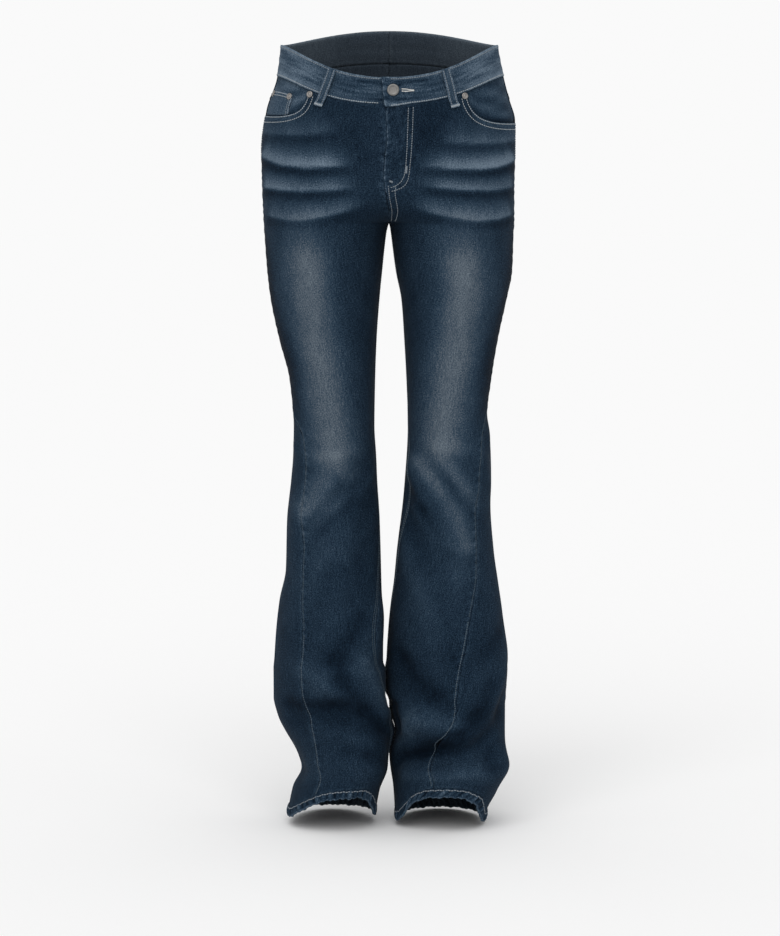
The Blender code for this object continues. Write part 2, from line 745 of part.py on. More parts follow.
def buttonhole(band):
    """A slit with round ends through the left half of the band, for the button's shank."""
    near, _ = surface("left", np.array([BUTTON_P]), np.array([BUTTON_LEVEL]))
    far, _ = surface("left", np.array([HOLE_END_P]), np.array([HOLE_END_LEVEL]))
    start, end = near[0] / 1000, far[0] / 1000
    slope = math.atan2(end[2] - start[2], end[0] - start[0])
    shape = bmesh.new()
    bmesh.ops.create_circle(shape, cap_ends=True, segments=16, radius=HOLE_WIDTH / 2000)
    half = (end[0] - start[0]) / 2 / math.cos(slope)
    for vert in shape.verts:
        vert.co.x += math.copysign(half, vert.co.x)
    raised = bmesh.ops.extrude_face_region(shape, geom=shape.faces[:])["geom"]
    lifted = [item for item in raised if isinstance(item, bmesh.types.BMVert)]
    bmesh.ops.translate(shape, verts=lifted, vec=(0, 0, 0.03))
    bmesh.ops.recalc_face_normals(shape, faces=shape.faces[:])
    mesh = bpy.data.meshes.new("buttonhole_cutter")
    shape.to_mesh(mesh)
    shape.free()
    cutter = bpy.data.objects.new("buttonhole_cutter", mesh)
    bpy.data.collections["cutters"].objects.link(cutter)
    cutter.hide_render = True
    cutter.display_type = "WIRE"
    cutter.rotation_euler = (math.pi / 2, -slope, 0)
    cutter.location = ((start[0] + end[0]) / 2, start[1] + 0.015, (start[2] + end[2]) / 2)
    cut = band.modifiers.new("buttonhole", "BOOLEAN")
    cut.operation = "DIFFERENCE"
    cut.solver = "EXACT"
    cut.object = cutter


def rivet(name, side, p, level, lift=0.0):
    profile = ((0, 1.1), (1.6, 1.1), (2.2, 1.7), (3.4, 1.7), (RIVET_RADIUS, 0.9), (RIVET_RADIUS, 0), (0, 0))
    turned(name, profile, side, p, level, lift + SEAM_GAP, "silver_metal", steps=16)


def build():
    for obj in list(bpy.data.objects):
        bpy.data.objects.remove(obj)
    collection = bpy.data.collections.new("jeans")
    bpy.context.scene.collection.children.link(collection)
    cutters = bpy.data.collections.new("cutters")
    bpy.context.scene.collection.children.link(cutters)
    for side in SIDES:
        front_panel(side)
        flare_panel(side)
        back_panel(side)
        yoke(side)
        pocket_facing(side)
        band = waistband(side)
        if side == "left":
            buttonhole(band)
        hem(side)
        back_pocket(side)
    coin_pocket()
    belt_loop("belt_loop_front_left", "left", -0.7, -0.678)
    belt_loop("belt_loop_front_right", "right", -0.69, -0.646)
    belt_loop("belt_loop_back_left", "left", 0.52, 0.5)
    belt_loop("belt_loop_back_right", "right", 0.52, 0.5)
    belt_loop("belt_loop_back_centre", "left", 1.0, 1.0)
    button()
    rivet("rivet_pocket_left", "left", -0.6, -48.5)
    rivet("rivet_pocket_right", "right", -0.566, -48.5)
    on_coin_pocket = PATCH_GAP + PATCH_WALL - FACING_INSET
    rivet("rivet_coin_inner", "right", -0.392, -62.5, on_coin_pocket)
    rivet("rivet_coin_outer", "right", -0.115, -66.0, on_coin_pocket)


build()
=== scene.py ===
import math

import bmesh
import bpy
import numpy as np
from mathutils import Matrix, Vector


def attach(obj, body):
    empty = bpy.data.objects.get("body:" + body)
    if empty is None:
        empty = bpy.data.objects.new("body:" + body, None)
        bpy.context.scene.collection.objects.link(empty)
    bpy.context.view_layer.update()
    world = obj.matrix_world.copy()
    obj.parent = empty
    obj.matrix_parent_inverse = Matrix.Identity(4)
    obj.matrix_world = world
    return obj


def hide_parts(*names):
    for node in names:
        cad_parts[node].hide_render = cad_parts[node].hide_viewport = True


# Low-rise flared jeans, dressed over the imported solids.
# A place on the cloth is (p, level): p is -1 at the centre front and inseam, 0 at the side seam,
# 1 at the centre back and inseam; level is the height in mm below the waist edge.

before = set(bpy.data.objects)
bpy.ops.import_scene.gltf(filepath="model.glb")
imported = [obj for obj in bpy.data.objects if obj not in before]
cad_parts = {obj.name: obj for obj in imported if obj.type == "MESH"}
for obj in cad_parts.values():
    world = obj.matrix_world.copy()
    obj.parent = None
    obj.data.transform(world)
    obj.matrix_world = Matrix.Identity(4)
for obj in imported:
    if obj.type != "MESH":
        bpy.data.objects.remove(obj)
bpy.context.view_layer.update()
sides = {"left": 1.0, "right": -1.0}

# The form of the garment, in mm, as the solids have it

shape = {
    "crotch": 244.0,
    "flareTop": 492.0,
    "bandHeight": 43.0,
    "waistFlat": 190.0,
    "frontRiseTurn": 195.0,
    "backRiseTurn": 150.0,
    "frontDip": 46.0,
    "backClimb": 22.0,
    "waistPower": 2.5,
    "hemHeight": 13.0,
    "hemCurveTop": 960.0,
    "upright": 2.0,
    "uprightEnds": 430.0,
    "foldScale": 200.0,
    "outlineKept": 0.5,
}
hemSide = {"right": 1082.0, "left": 1088.0}
backDrop = {"right": 6.0, "left": 3.0}

# z, front, back, how square the section is
bodySections = (
    (20, -86, 88, 2.15), (0, -88, 92, 2.15), (-50, -96, 104, 2.2), (-100, -102, 117, 2.25),
    (-150, -104, 126, 2.25), (-200, -104, 126, 2.15), (-244, -101, 116, 2.05), (-300, -98, 99, 2.0),
    (-370, -91, 85, 2.0), (-440, -83, 73, 2.0), (-520, -74, 62, 2.0), (-570, -71, 59, 2.0),
    (-640, -68, 64, 2.0), (-720, -71, 74, 2.0), (-820, -76, 85, 2.0), (-900, -79, 92, 2.0),
    (-950, -77, 95, 2.0), (-1000, -72, 99, 2.0), (-1040, -76, 103, 2.0), (-1100, -80, 108, 2.0),
)

# z, reach of the inner edge, reach of the outer edge
legSections = {
    "right": (
        (20, 0, 147), (0, 0, 149), (-45, 0, 155), (-90, 0, 170), (-145, 0, 177), (-200, 0, 176),
        (-235, 0.4, 174.4), (-244, 1.1, 174), (-258, 4, 173), (-311, 10, 169), (-352, 14, 164),
        (-408, 18, 152), (-464, 20, 138), (-527, 21, 133), (-569, 18.5, 134), (-604, 17, 137),
        (-661, 13, 143), (-730, 11, 145), (-774, 10, 154), (-817, 8.5, 159), (-860, 8.2, 162),
        (-871, 4.6, 163), (-895, 4.2, 163), (-907, 6.5, 163), (-914, 6.2, 163), (-921, 4.0, 162),
        (-929, -1.5, 160), (-945, -5.5, 155), (-959, -9.2, 148), (-995, 0.6, 129), (-1014, 3, 124),
        (-1045, 14, 137), (-1083, 19.5, 143), (-1100, 20, 143),
    ),
    "left": (
        (20, 0, 148), (0, 0, 150), (-45, 0, 159), (-75, 0, 167), (-104, 0, 175), (-150, 0, 175),
        (-200, 0, 174), (-235, 0.4, 174), (-244, 1.1, 174), (-258, 3, 173), (-311, 10, 171),
        (-352, 18, 163), (-408, 22, 151), (-464, 25, 142), (-509, 26.5, 137), (-540, 26, 141),
        (-604, 22, 143), (-633, 19.5, 142), (-703, 11, 147), (-746, 7, 153), (-788, 1.5, 159),
        (-845, -2.5, 165), (-860, -3.2, 165), (-871, -4.8, 166), (-895, -4.9, 166), (-907, -4.2, 165),
        (-914, -1.0, 165), (-921, 0.8, 164), (-929, 1.0, 164), (-945, 4.8, 164), (-959, 8.4, 164),
        (-990, 0.4, 165), (-1007, 1.5, 167), (-1045, 7, 153), (-1078, 9, 138), (-1100, 10, 136),
    ),
}
turnSections = ((-700, 0), (-800, 10), (-1000, 10), (-1085, 0))

# p, rise of the right hem over the foot, rise of the left one
hemRise = (
    (-1.0, 0, 0), (-0.93, 3, 2), (-0.87, 13, 6), (-0.8, 25, 19), (-0.73, 33.5, 36), (-0.64, 39.5, 45),
    (-0.51, 39.0, 47.5), (-0.44, 37.0, 46), (-0.38, 33.5, 41), (-0.31, 26, 34), (-0.2, 12, 15),
    (-0.1, 2, 1), (0.0, 0, 0),
)

# z, p of the seam on the right leg, p on the left leg: flare seam and inseam
flareSeamLine = (
    (-492, 0.0, 0.0), (-515, -0.13, -0.12), (-540, -0.23, -0.21), (-590, -0.27, -0.26),
    (-720, -0.28, -0.29), (-780, -0.32, -0.355), (-820, -0.34, -0.395), (-880, -0.34, -0.44),
    (-930, -0.35, -0.46), (-950, -0.345, -0.51), (-972, -0.335, -0.6), (-1035, -0.32, -0.62),
    (-1100, -0.31, -0.62),
)
inseamLine = (
    (-244, 1.0, 1.0), (-500, 1.0, 0.99), (-590, 0.99, 0.87), (-650, 0.97, 0.9), (-750, 0.88, 0.95),
    (-820, 0.8, 0.98), (-890, 0.88, 0.99), (-960, 0.98, 1.0), (-1100, 1.0, 1.0),
)
flyLine = (
    (-43, 0.009), (-110, 0.006), (-150, 0.014), (-180, 0.018), (-205, 0.013), (-232, 0.0), (-1100, 0.0),
)

# From p, z to p, z, width, height: ridges, and troughs where the height is negative
folds = {
    "right": (
        (-0.55, -575, -0.22, -660, 20, 4.0), (-0.75, -590, -0.35, -690, 24, -4.0),
        (0.0, -507, -0.1, -515, 9, 3.0), (0.0, -551, -0.12, -556, 9, 3.0),
        (-0.8, -640, -0.62, -760, 22, -4.0), (-0.85, -790, -0.45, -905, 30, 5.0),
        (-0.25, -935, -0.5, -925, 22, -8.0), (-0.5, -925, -0.9, -965, 24, -9.0),
        (-0.45, -880, -0.8, -915, 20, 6.0), (-0.2, -1005, -0.75, -990, 24, 5.0),
        (0.1, -1005, 0.5, -960, 26, -8.0), (0.5, -960, 0.9, -925, 24, -6.0),
        (0.2, -940, 0.7, -890, 30, 6.0), (0.25, -560, 0.75, -545, 18, -4.5),
        (0.3, -600, 0.75, -585, 18, 3.5), (0.35, -520, 0.7, -508, 16, -3.5),
        (0.45, -268, 0.9, -285, 14, -3.0), (0.55, -300, 0.92, -322, 16, -2.5),
    ),
    "left": (
        (-0.85, -585, -0.42, -690, 20, 5.0), (-0.9, -620, -0.6, -715, 22, -5.0),
        (-0.6, -560, -0.3, -610, 18, 3.5), (0.0, -540, -0.1, -545, 9, 2.5),
        (-0.25, -570, 0.05, -650, 18, 3.0), (-0.85, -860, -0.6, -925, 22, -5.0),
        (-0.95, -915, -0.5, -962, 20, 7.0), (-0.95, -1000, -0.62, -985, 18, -10.0),
        (-0.62, -985, -0.35, -975, 20, -12.0), (-0.35, -975, -0.08, -915, 24, -8.0),
        (-0.3, -900, -0.05, -850, 24, 4.0), (-0.1, -1000, -0.55, -1015, 22, 6.0),
        (0.1, -985, 0.55, -950, 26, -9.0), (0.55, -950, 0.92, -975, 24, -7.0),
        (0.25, -925, 0.75, -890, 30, 6.0), (0.25, -555, 0.75, -560, 18, -4.5),
        (0.3, -598, 0.72, -604, 18, 3.5), (0.35, -516, 0.7, -512, 16, -3.5),
        (0.45, -270, 0.9, -288, 14, -3.0), (0.55, -304, 0.92, -325, 16, -2.5),
    ),
}

# Finer creases, which the solids don't have
creases = {
    "right": (
        (-0.12, -115, -0.7, -104, 7, 0.9), (-0.1, -153, -0.8, -156, 7, 1.1),
        (-0.16, -186, -0.84, -186, 7, 1.3), (-0.24, -222, -0.86, -212, 8, 1.6),
        (-0.2, -132, -0.66, -130, 6, -0.6), (-0.3, -170, -0.78, -172, 6, -0.8),
        (-0.3, -204, -0.8, -204, 6, -0.9), (-0.3, -243, -0.8, -236, 8, -1.2),
        (-0.7, -556, -0.36, -566, 9, 1.2), (-0.84, -600, -0.5, -640, 9, 1.5),
        (-0.5, -606, -0.28, -652, 8, 1.6), (-0.66, -626, -0.36, -676, 8, -1.4),
        (-0.82, -660, -0.6, -708, 12, 1.2), (-0.5, -720, -0.34, -800, 14, -1.2),
        (-0.66, -790, -0.49, -847, 12, -2.8), (-0.49, -847, -0.52, -875, 11, -2.4),
        (-0.52, -875, -0.67, -921, 10, -2.8), (-0.67, -921, -0.8, -950, 9, -2.2),
        (-0.66, -852, -0.86, -928, 12, 2.6), (-0.19, -914, -0.54, -909, 10, -2.8),
        (-0.3, -862, -0.42, -884, 13, 2.0), (-0.34, -945, -0.62, -962, 13, 1.8),
        (-0.62, -985, -0.85, -1000, 9, -1.6), (-0.5, -975, -0.76, -982, 16, -1.6),
        (0.1, -130, 0.5, -124, 10, 0.8), (0.12, -182, 0.6, -190, 10, -0.8),
        (0.4, -250, 0.86, -256, 9, 1.4), (0.5, -284, 0.9, -300, 8, 1.2),
        (0.3, -536, 0.7, -528, 9, 1.3), (0.34, -574, 0.76, -566, 8, 1.6),
        (0.4, -618, 0.7, -606, 9, -1.4), (0.2, -680, 0.42, -760, 16, 1.4),
        (0.6, -700, 0.8, -800, 16, -1.6), (0.16, -900, 0.5, -870, 12, -2.0),
        (0.3, -975, 0.8, -948, 12, 2.2), (0.2, -1030, 0.7, -1012, 10, 1.8),
    ),
    "left": (
        (-0.14, -122, -0.76, -114, 7, 0.8), (-0.14, -154, -0.84, -157, 7, 1.1),
        (-0.2, -186, -0.88, -180, 7, 1.3), (-0.3, -224, -0.88, -210, 8, 1.6),
        (-0.24, -138, -0.7, -134, 6, -0.6), (-0.3, -172, -0.8, -174, 6, -0.8),
        (-0.3, -206, -0.82, -202, 6, -0.9), (-0.32, -246, -0.76, -240, 8, -1.2),
        (-0.6, -552, -0.3, -560, 9, 1.0), (-0.8, -566, -0.58, -612, 9, 1.6),
        (-0.86, -606, -0.68, -642, 9, -1.7), (-0.68, -642, -0.48, -704, 10, -1.7),
        (-0.56, -572, -0.36, -612, 8, 1.5), (-0.5, -602, -0.3, -640, 8, -1.3),
        (-0.78, -640, -0.5, -690, 10, 1.2), (-0.86, -690, -0.66, -780, 14, 1.4),
        (-0.6, -760, -0.5, -850, 14, -1.0), (-0.86, -846, -0.62, -900, 12, -2.2),
        (-0.98, -992, -0.84, -954, 10, 4.2), (-0.84, -954, -0.7, -926, 10, 4.4),
        (-0.7, -926, -0.52, -938, 11, 2.8), (-0.9, -918, -0.88, -950, 9, -4.6),
        (-0.9, -1002, -0.74, -986, 9, -2.6), (-0.74, -984, -0.53, -958, 11, -4.0),
        (-0.53, -958, -0.38, -925, 12, -3.0), (-0.38, -925, -0.3, -885, 11, -2.2),
        (-0.2, -930, -0.1, -870, 10, -2.0), (-0.34, -840, -0.14, -800, 12, -1.4),
        (-0.84, -1010, -0.42, -998, 13, 5.4), (-0.36, -984, -0.2, -960, 9, 1.8),
        (-0.4, -1000, -0.22, -1004, 7, -1.8),
        (0.12, -128, 0.46, -136, 10, 0.8), (0.1, -190, 0.56, -180, 10, -0.8),
        (0.42, -254, 0.88, -262, 9, 1.4), (0.52, -288, 0.9, -306, 8, 1.2),
        (0.3, -534, 0.72, -538, 9, 1.3), (0.32, -578, 0.74, -580, 8, 1.6),
        (0.38, -620, 0.72, -622, 9, -1.4), (0.24, -700, 0.4, -780, 16, 1.4),
        (0.6, -690, 0.82, -780, 16, -1.6), (0.2, -890, 0.55, -872, 12, -2.0),
        (0.28, -968, 0.8, -990, 12, 2.2), (0.18, -1028, 0.66, -1020, 10, 1.8),
    ),
}


def smoothStep(value):
    t = np.clip(value, 0.0, 1.0)
    return t * t * (3 - 2 * t)


def bell(distance, width):
    return np.exp(-((distance / width) ** 2))


def placesAt(*parts):
    # Places on the cloth, from their p and level, and lift where there is one
    return np.stack(np.broadcast_arrays(*parts), axis=-1)


def columnOf(rows, column):
    ordered = sorted(rows)
    z = np.array([row[0] for row in ordered], float)
    v = np.array([row[column] for row in ordered], float)
    slope = np.diff(v) / np.diff(z)
    ease = np.zeros(len(z))
    after = slope[1:]
    before = slope[:-1]
    mean = 2 * after * before / np.maximum(np.abs(after) + np.abs(before), 1e-12)
    ease[1:-1] = np.where(after * before > 0, mean * np.sign(after), 0)

    def value(at):
        at = np.clip(at, z[0], z[-1])
        i = np.clip(np.searchsorted(z, at) - 1, 0, len(z) - 2)
        width = z[i + 1] - z[i]
        t = (at - z[i]) / width
        heightPart = v[i] + (v[i + 1] - v[i]) * smoothStep(t)
        slopePart = t * (1 - t) ** 2 * ease[i] - t * t * (1 - t) * ease[i + 1]
        return heightPart + slopePart * width

    return value


def bothSides(rows):
    return {"right": columnOf(rows, 1), "left": columnOf(rows, 2)}


frontAt = columnOf(bodySections, 1)
backAt = columnOf(bodySections, 2)
squareAt = columnOf(bodySections, 3)
turnAt = columnOf(turnSections, 1)
flyAt = columnOf(flyLine, 1)
innerAt = {side: columnOf(legSections[side], 1) for side in sides}
outerAt = {side: columnOf(legSections[side], 2) for side in sides}
hemRiseAt = bothSides(hemRise)
flareSeamAt = bothSides(flareSeamLine)
inseamAt = bothSides(inseamLine)


def heightAt(side, p, level):
    roundWaist = np.abs(np.sin(np.pi / 2 * p)) ** shape["waistPower"]
    fade = smoothStep(1 + level / shape["waistFlat"])
    waist = np.where(p < 0, -shape["frontDip"], shape["backClimb"]) * roundWaist * fade
    toe = np.where(p < 0, hemRiseAt[side](p), -backDrop[side] * np.sin(np.pi * p) ** 2)
    top = shape["hemCurveTop"]
    return level + waist + toe * smoothStep((-level - top) / (hemSide[side] - top))


def wrapped(p, z):
    onLeg = z < -shape["crotch"]
    p = np.where(onLeg & (p > 1), p - 2, p)
    return np.where(onLeg & (p < -1), p + 2, p)


def bareSurface(side, p, level):
    p, level = np.broadcast_arrays(np.asarray(p, float), np.asarray(level, float))
    p = wrapped(p, level)
    z = heightAt(side, p, level)
    front = frontAt(z)
    back = backAt(z)
    square = squareAt(z)
    inner = innerAt[side](z)
    outer = outerAt[side](z)
    turn = np.where(p < 0, shape["frontRiseTurn"], shape["backRiseTurn"])
    closing = np.clip((-z - turn) / (shape["crotch"] - turn), 0, 1)
    half = (outer - inner) / (1 + closing)
    end = np.arccos(-(closing ** (square / 2)))
    upright = 1 + shape["upright"] * smoothStep(
        (shape["uprightEnds"] + z) / (shape["uprightEnds"] - shape["crotch"])
    )
    angle = np.pi / 2 * np.abs(p) + (end - np.pi / 2) * np.abs(p) ** upright
    turnedAngle = angle + np.sign(p) * np.radians(turnAt(z)) * sides[side]
    across = np.sign(np.cos(turnedAngle)) * np.abs(np.cos(turnedAngle)) ** (2 / square)
    along = np.abs(np.sin(angle)) ** (2 / square)
    middle = (front + back) / 2
    y = middle + np.where(p < 0, front - middle, back - middle) * along
    return np.stack([outer - half + half * across, y, z], axis=-1)


def outward(pointsAt, p, level):
    aside = 2e-3
    above = 0.5
    roundIt = pointsAt(p + aside, level) - pointsAt(p - aside, level)
    upIt = pointsAt(p, level + above) - pointsAt(p, level - above)
    normal = np.cross(roundIt, upIt)
    return normal / np.maximum(np.linalg.norm(normal, axis=-1, keepdims=True), 1e-9)


def foldHeight(side, p, z, lines):
    scale = shape["foldScale"]
    total = np.zeros(np.shape(p))
    place = placesAt(p * scale, z)
    for fromP, fromZ, toP, toZ, width, rise in lines:
        start = np.array([fromP * scale, fromZ])
        line = np.array([toP * scale, toZ]) - start
        share = np.clip((place - start) @ line / (line @ line), 0, 1)
        away = np.linalg.norm(place - start - share[..., None] * line, axis=-1)
        total = total + rise * bell(away, width)
    return total * smoothStep(np.abs(np.sin(np.pi * p)) / shape["outlineKept"])


def surface(side, p, level, lift=0.0):
    p, level = np.broadcast_arrays(np.asarray(p, float), np.asarray(level, float))

    def folded(atP, atLevel):
        atP = wrapped(atP, atLevel)
        bare = bareSurface(side, atP, atLevel)
        normal = outward(lambda a, b: bareSurface(side, a, b), atP, atLevel)
        rise = foldHeight(side, atP, bare[..., 2], folds[side])
        rise = rise + foldHeight(side, atP, bare[..., 2], creases[side])
        return bare + normal * rise[..., None]

    normal = outward(folded, p, level)
    points = folded(p, level) + normal * np.asarray(lift)[..., None]
    mirror = np.array([sides[side], 1, 1])
    return points * mirror / 1000, normal * mirror


# Materials

denimFinish = {
    "deep": (0.0022, 0.0058, 0.0118),
    "dark": (0.0078, 0.0182, 0.0335),
    "mid": (0.0262, 0.0482, 0.0760),
    "faded": (0.0770, 0.1110, 0.1520),
    "bare": (0.1450, 0.1950, 0.2500),
    "fadedGrey": (0.0820, 0.1040, 0.1290),
    "bareGrey": (0.1500, 0.1860, 0.2200),
    "pepper": 0.66,
    "slubs": 0.24,
    "clouds": 0.11,
    "rubbedEdge": 0.26,
    "rim": 0.42,
    "seamLine": -0.3,
    "bandCreases": 0.5,
    "twill": 0.12,
    "roughness": 0.9,
    "bump": 0.35,
    "sheen": 0.015,
    "specular": 0.04,
}
# Where the wash turns from one colour to the next, from darkest to palest
washStops = (-0.35, 0.0, 0.42, 0.76, 1.15)
wrongSide = ((-0.35, (0.011, 0.017, 0.026)), (0.5, (0.05, 0.066, 0.085)), (1.15, (0.1, 0.125, 0.15)))


class Tree:
    # A material's nodes, and short ways to add and join them
    def __init__(self, name):
        self.material = bpy.data.materials.new(name)
        self.material.use_nodes = True
        self.nodes = self.material.node_tree.nodes
        self.links = self.material.node_tree.links
        self.shader = self.nodes["Principled BSDF"]

    def add(self, kind, **values):
        node = self.nodes.new(kind)
        node.location = (-220 * (len(self.nodes) // 3), -220 * (len(self.nodes) % 3))
        for key, value in values.items():
            if hasattr(node, key):
                setattr(node, key, value)
            else:
                node.inputs[key].default_value = value
        return node

    def wire(self, start, end):
        self.links.new(start, end)

    def math(self, operation, first, second=None):
        node = self.add("ShaderNodeMath", operation=operation)
        for slotNumber, value in enumerate((first, second)):
            if isinstance(value, (int, float)):
                node.inputs[slotNumber].default_value = value
            elif value is not None:
                self.wire(value, node.inputs[slotNumber])
        return node.outputs[0]

    def plus(self, total, value, share):
        return self.math("ADD", total, self.math("MULTIPLY", value, share))

    def span(self, value, fromMin, fromMax, toMin, toMax):
        limits = {"From Min": fromMin, "From Max": fromMax, "To Min": toMin, "To Max": toMax}
        node = self.add("ShaderNodeMapRange", **limits)
        self.wire(value, node.inputs["Value"])
        return node.outputs[0]

    def noise(self, vector, stretch, detail=2.0):
        mapping = self.add("ShaderNodeMapping")
        mapping.inputs["Scale"].default_value = stretch
        self.wire(vector, mapping.inputs["Vector"])
        node = self.add("ShaderNodeTexNoise", Scale=1.0, Detail=detail)
        self.wire(mapping.outputs[0], node.inputs["Vector"])
        return node.outputs["Fac"]

    def ramp(self, value, stops):
        node = self.add("ShaderNodeValToRGB")
        elements = node.color_ramp.elements
        for element, (position, colour) in ((elements[0], stops[0]), (elements[1], stops[-1])):
            element.position = position
            element.color = (*colour, 1)
        for position, colour in stops[1:-1]:
            elements.new(position).color = (*colour, 1)
        self.wire(value, node.inputs["Fac"])
        return node.outputs["Color"]

    def relief(self, height, strength, distance):
        bump = self.add("ShaderNodeBump", Strength=strength, Distance=distance)
        self.wire(height, bump.inputs["Height"])
        self.wire(bump.outputs[0], self.shader.inputs["Normal"])

    def setShader(self, values):
        for key, value in values.items():
            self.shader.inputs[key].default_value = value


def denimMaterial(name, inside=False, lengthwise=False):
    look = denimFinish
    tree = Tree(name)
    cut = tree.add("ShaderNodeUVMap", uv_map="cut").outputs[0]
    # The first attribute is the wash with painted shade and highlight added: darker in fold troughs, under
    # whisker creases and at the pocket's edge, paler on fold ridges
    wash, edge, bareEdge, grey = (
        tree.add("ShaderNodeAttribute", attribute_name=key).outputs["Fac"]
        for key in ("wash", "edge", "bareEdge", "grey")
    )
    # Pale weft shows between the warp threads as fine pepper, and slubs run down the warp
    pepper = tree.span(tree.noise(cut, (900, 520, 1), 1.5), 0.3, 0.7, -0.5, 0.5)
    slubs = tree.span(tree.noise(cut, (900, 60, 1), 1.0), 0.34, 0.66, -0.5, 0.5)
    cloud = tree.span(tree.noise(cut, (34, 22, 1), 4.0), 0.3, 0.7, -0.5, 0.5)
    grain = tree.plus(tree.math("MULTIPLY", pepper, look["pepper"]), slubs, look["slubs"])
    total = tree.plus(tree.math("ADD", wash, grain), cloud, look["clouds"])
    height = grain
    if lengthwise:
        # The band creases along its length
        crease = tree.span(tree.noise(cut, (15, 150, 1), 2.5), 0.34, 0.66, -0.5, 0.5)
        total = tree.plus(total, crease, look["bandCreases"])
        height = tree.plus(height, crease, 0.6)
    # The edges are rubbed light in patches, where the seam puckers, with a dark line in the seam itself
    patches = tree.span(tree.noise(cut, (150, 150, 1), 2.0), 0.4, 0.6, 0.15, 1.0)
    nearEdge = tree.math("MULTIPLY", tree.span(edge, 6.5, 1.0, 0.0, look["rubbedEdge"]), patches)
    total = tree.math("ADD", total, nearEdge)
    lineOfWear = tree.span(patches, 0.15, 1.0, 0.5, 1.0)
    total = tree.plus(total, tree.span(bareEdge, 2.2, 1.0, 0.0, look["rim"]), lineOfWear)
    total = tree.math("ADD", total, tree.span(edge, 0.7, 0.1, 0.0, look["seamLine"]))
    blue, greyed = (
        list(zip(washStops, [look[key] for key in ("deep", "dark", "mid", *palest)]))
        for palest in (("faded", "bare"), ("fadedGrey", "bareGrey"))
    )
    if inside:
        blue = greyed = wrongSide
    lowest = washStops[0]
    highest = washStops[-1]
    total = tree.span(total, lowest, highest, 0.0, 1.0)
    mix = tree.add("ShaderNodeMix", data_type="RGBA")
    tree.wire(grey, mix.inputs[0])
    for colours, socket in ((blue, 6), (greyed, 7)):
        colours = [((position - lowest) / (highest - lowest), colour) for position, colour in colours]
        tree.wire(tree.ramp(total, colours), mix.inputs[socket])
    tree.wire(mix.outputs[2], tree.shader.inputs["Base Color"])
    # Twill lines lean up to the right, 1.1 mm apart
    turned = tree.add("ShaderNodeMapping")
    turned.inputs["Rotation"].default_value = (0, 0, math.radians(28))
    tree.wire(cut, turned.inputs["Vector"])
    twill = tree.add("ShaderNodeTexWave", bands_direction="X", Scale=290.0, Distortion=0.6)
    tree.wire(turned.outputs[0], twill.inputs["Vector"])
    height = tree.plus(height, twill.outputs["Fac"], look["twill"])
    height = tree.plus(height, nearEdge, 1.2)
    tree.relief(height, look["bump"], 0.001)
    rough = tree.span(grain, -0.25, 0.25, look["roughness"] - 0.06, 0.97)
    tree.wire(rough, tree.shader.inputs["Roughness"])
    tree.setShader(
        {"Sheen Weight": look["sheen"], "Sheen Roughness": 0.4, "Specular IOR Level": look["specular"]}
    )
    return tree.material


def threadMaterial(name, colour):
    tree = Tree(name)
    place = tree.add("ShaderNodeTexCoord").outputs["Object"]
    twist = tree.noise(place, (1400, 1400, 1400))
    faint = [part * 0.6 for part in colour]
    tree.wire(tree.ramp(twist, ((0.3, faint), (0.7, colour))), tree.shader.inputs["Base Color"])
    tree.relief(twist, 0.3, 0.0002)
    tree.setShader({"Roughness": 0.75, "Specular IOR Level": 0.1})
    return tree.material


def metalMaterial(name, colour, roughness):
    tree = Tree(name)
    place = tree.add("ShaderNodeTexCoord").outputs["Object"]
    wear = tree.noise(place, (420, 420, 420), 4.0)
    dull = [part * 0.62 for part in colour]
    tree.wire(tree.ramp(wear, ((0.3, dull), (0.72, colour))), tree.shader.inputs["Base Color"])
    rough = tree.span(wear, 0.3, 0.7, roughness - 0.08, roughness + 0.14)
    tree.wire(rough, tree.shader.inputs["Roughness"])
    tree.relief(wear, 0.2, 0.0002)
    tree.setShader({"Metallic": 1.0})
    return tree.material


denim = denimMaterial("indigoDenim")
bandDenim = denimMaterial("bandDenim", lengthwise=True)
denimInside = denimMaterial("denimWrongSide", inside=True)
paleThread = threadMaterial("paleThread", (0.25, 0.285, 0.32))
edgeThread = threadMaterial("edgeThread", (0.40, 0.44, 0.47))
blueThread = threadMaterial("blueThread", (0.10, 0.135, 0.165))
whiteThread = threadMaterial("whiteThread", (0.78, 0.78, 0.76))
wornThread = threadMaterial("wornThread", (0.062, 0.09, 0.115))
silver = metalMaterial("agedSilver", (0.25, 0.243, 0.235), 0.46)
rivetMetal = metalMaterial("rivetSilver", (0.34, 0.325, 0.31), 0.42)

print("materials made")


# How the denim is washed, with painted shade under the whiskers' creases: strokes in the front view, (x,
# z) in mm, with the wearer's left at +x

whiskers = {
    "strength": 0.73,
    "above": 18.0,
    "below": 2.8,
    # the dark line just below each stroke is painted shade of the crease there
    "line": 0.22,
    # weight, then the lower edge from the side seam to the middle
    "strokes": (
        (0.5, (-178, -119), (-150, -121.5), (-118, -122.5), (-84, -119), (-56, -115)),
        (1.3, (-178, -151), (-164, -157), (-148, -163), (-110, -166.5), (-76, -165), (-38, -161)),
        (1.04, (-174, -194), (-150, -197), (-120, -199), (-90, -198), (-55, -195), (-34, -190)),
        (
            0.74,
            (-168, -232), (-146, -237), (-120, -238), (-88, -233), (-61, -226), (-36, -217), (-20, -208),
        ),
        (0.66, (178, -129), (145, -133.5), (110, -134), (80, -132), (58, -130)),
        (1.34, (176, -155), (166, -160.5), (148, -166), (126, -168.5), (90, -168), (60, -166), (32, -163)),
        (0.95, (172, -193), (150, -197), (131, -198), (100, -197), (70, -194), (42, -190), (26, -186)),
        (0.84, (170, -231), (150, -237), (120, -239), (87, -234), (60, -228), (35, -219), (20, -212)),
    ),
}
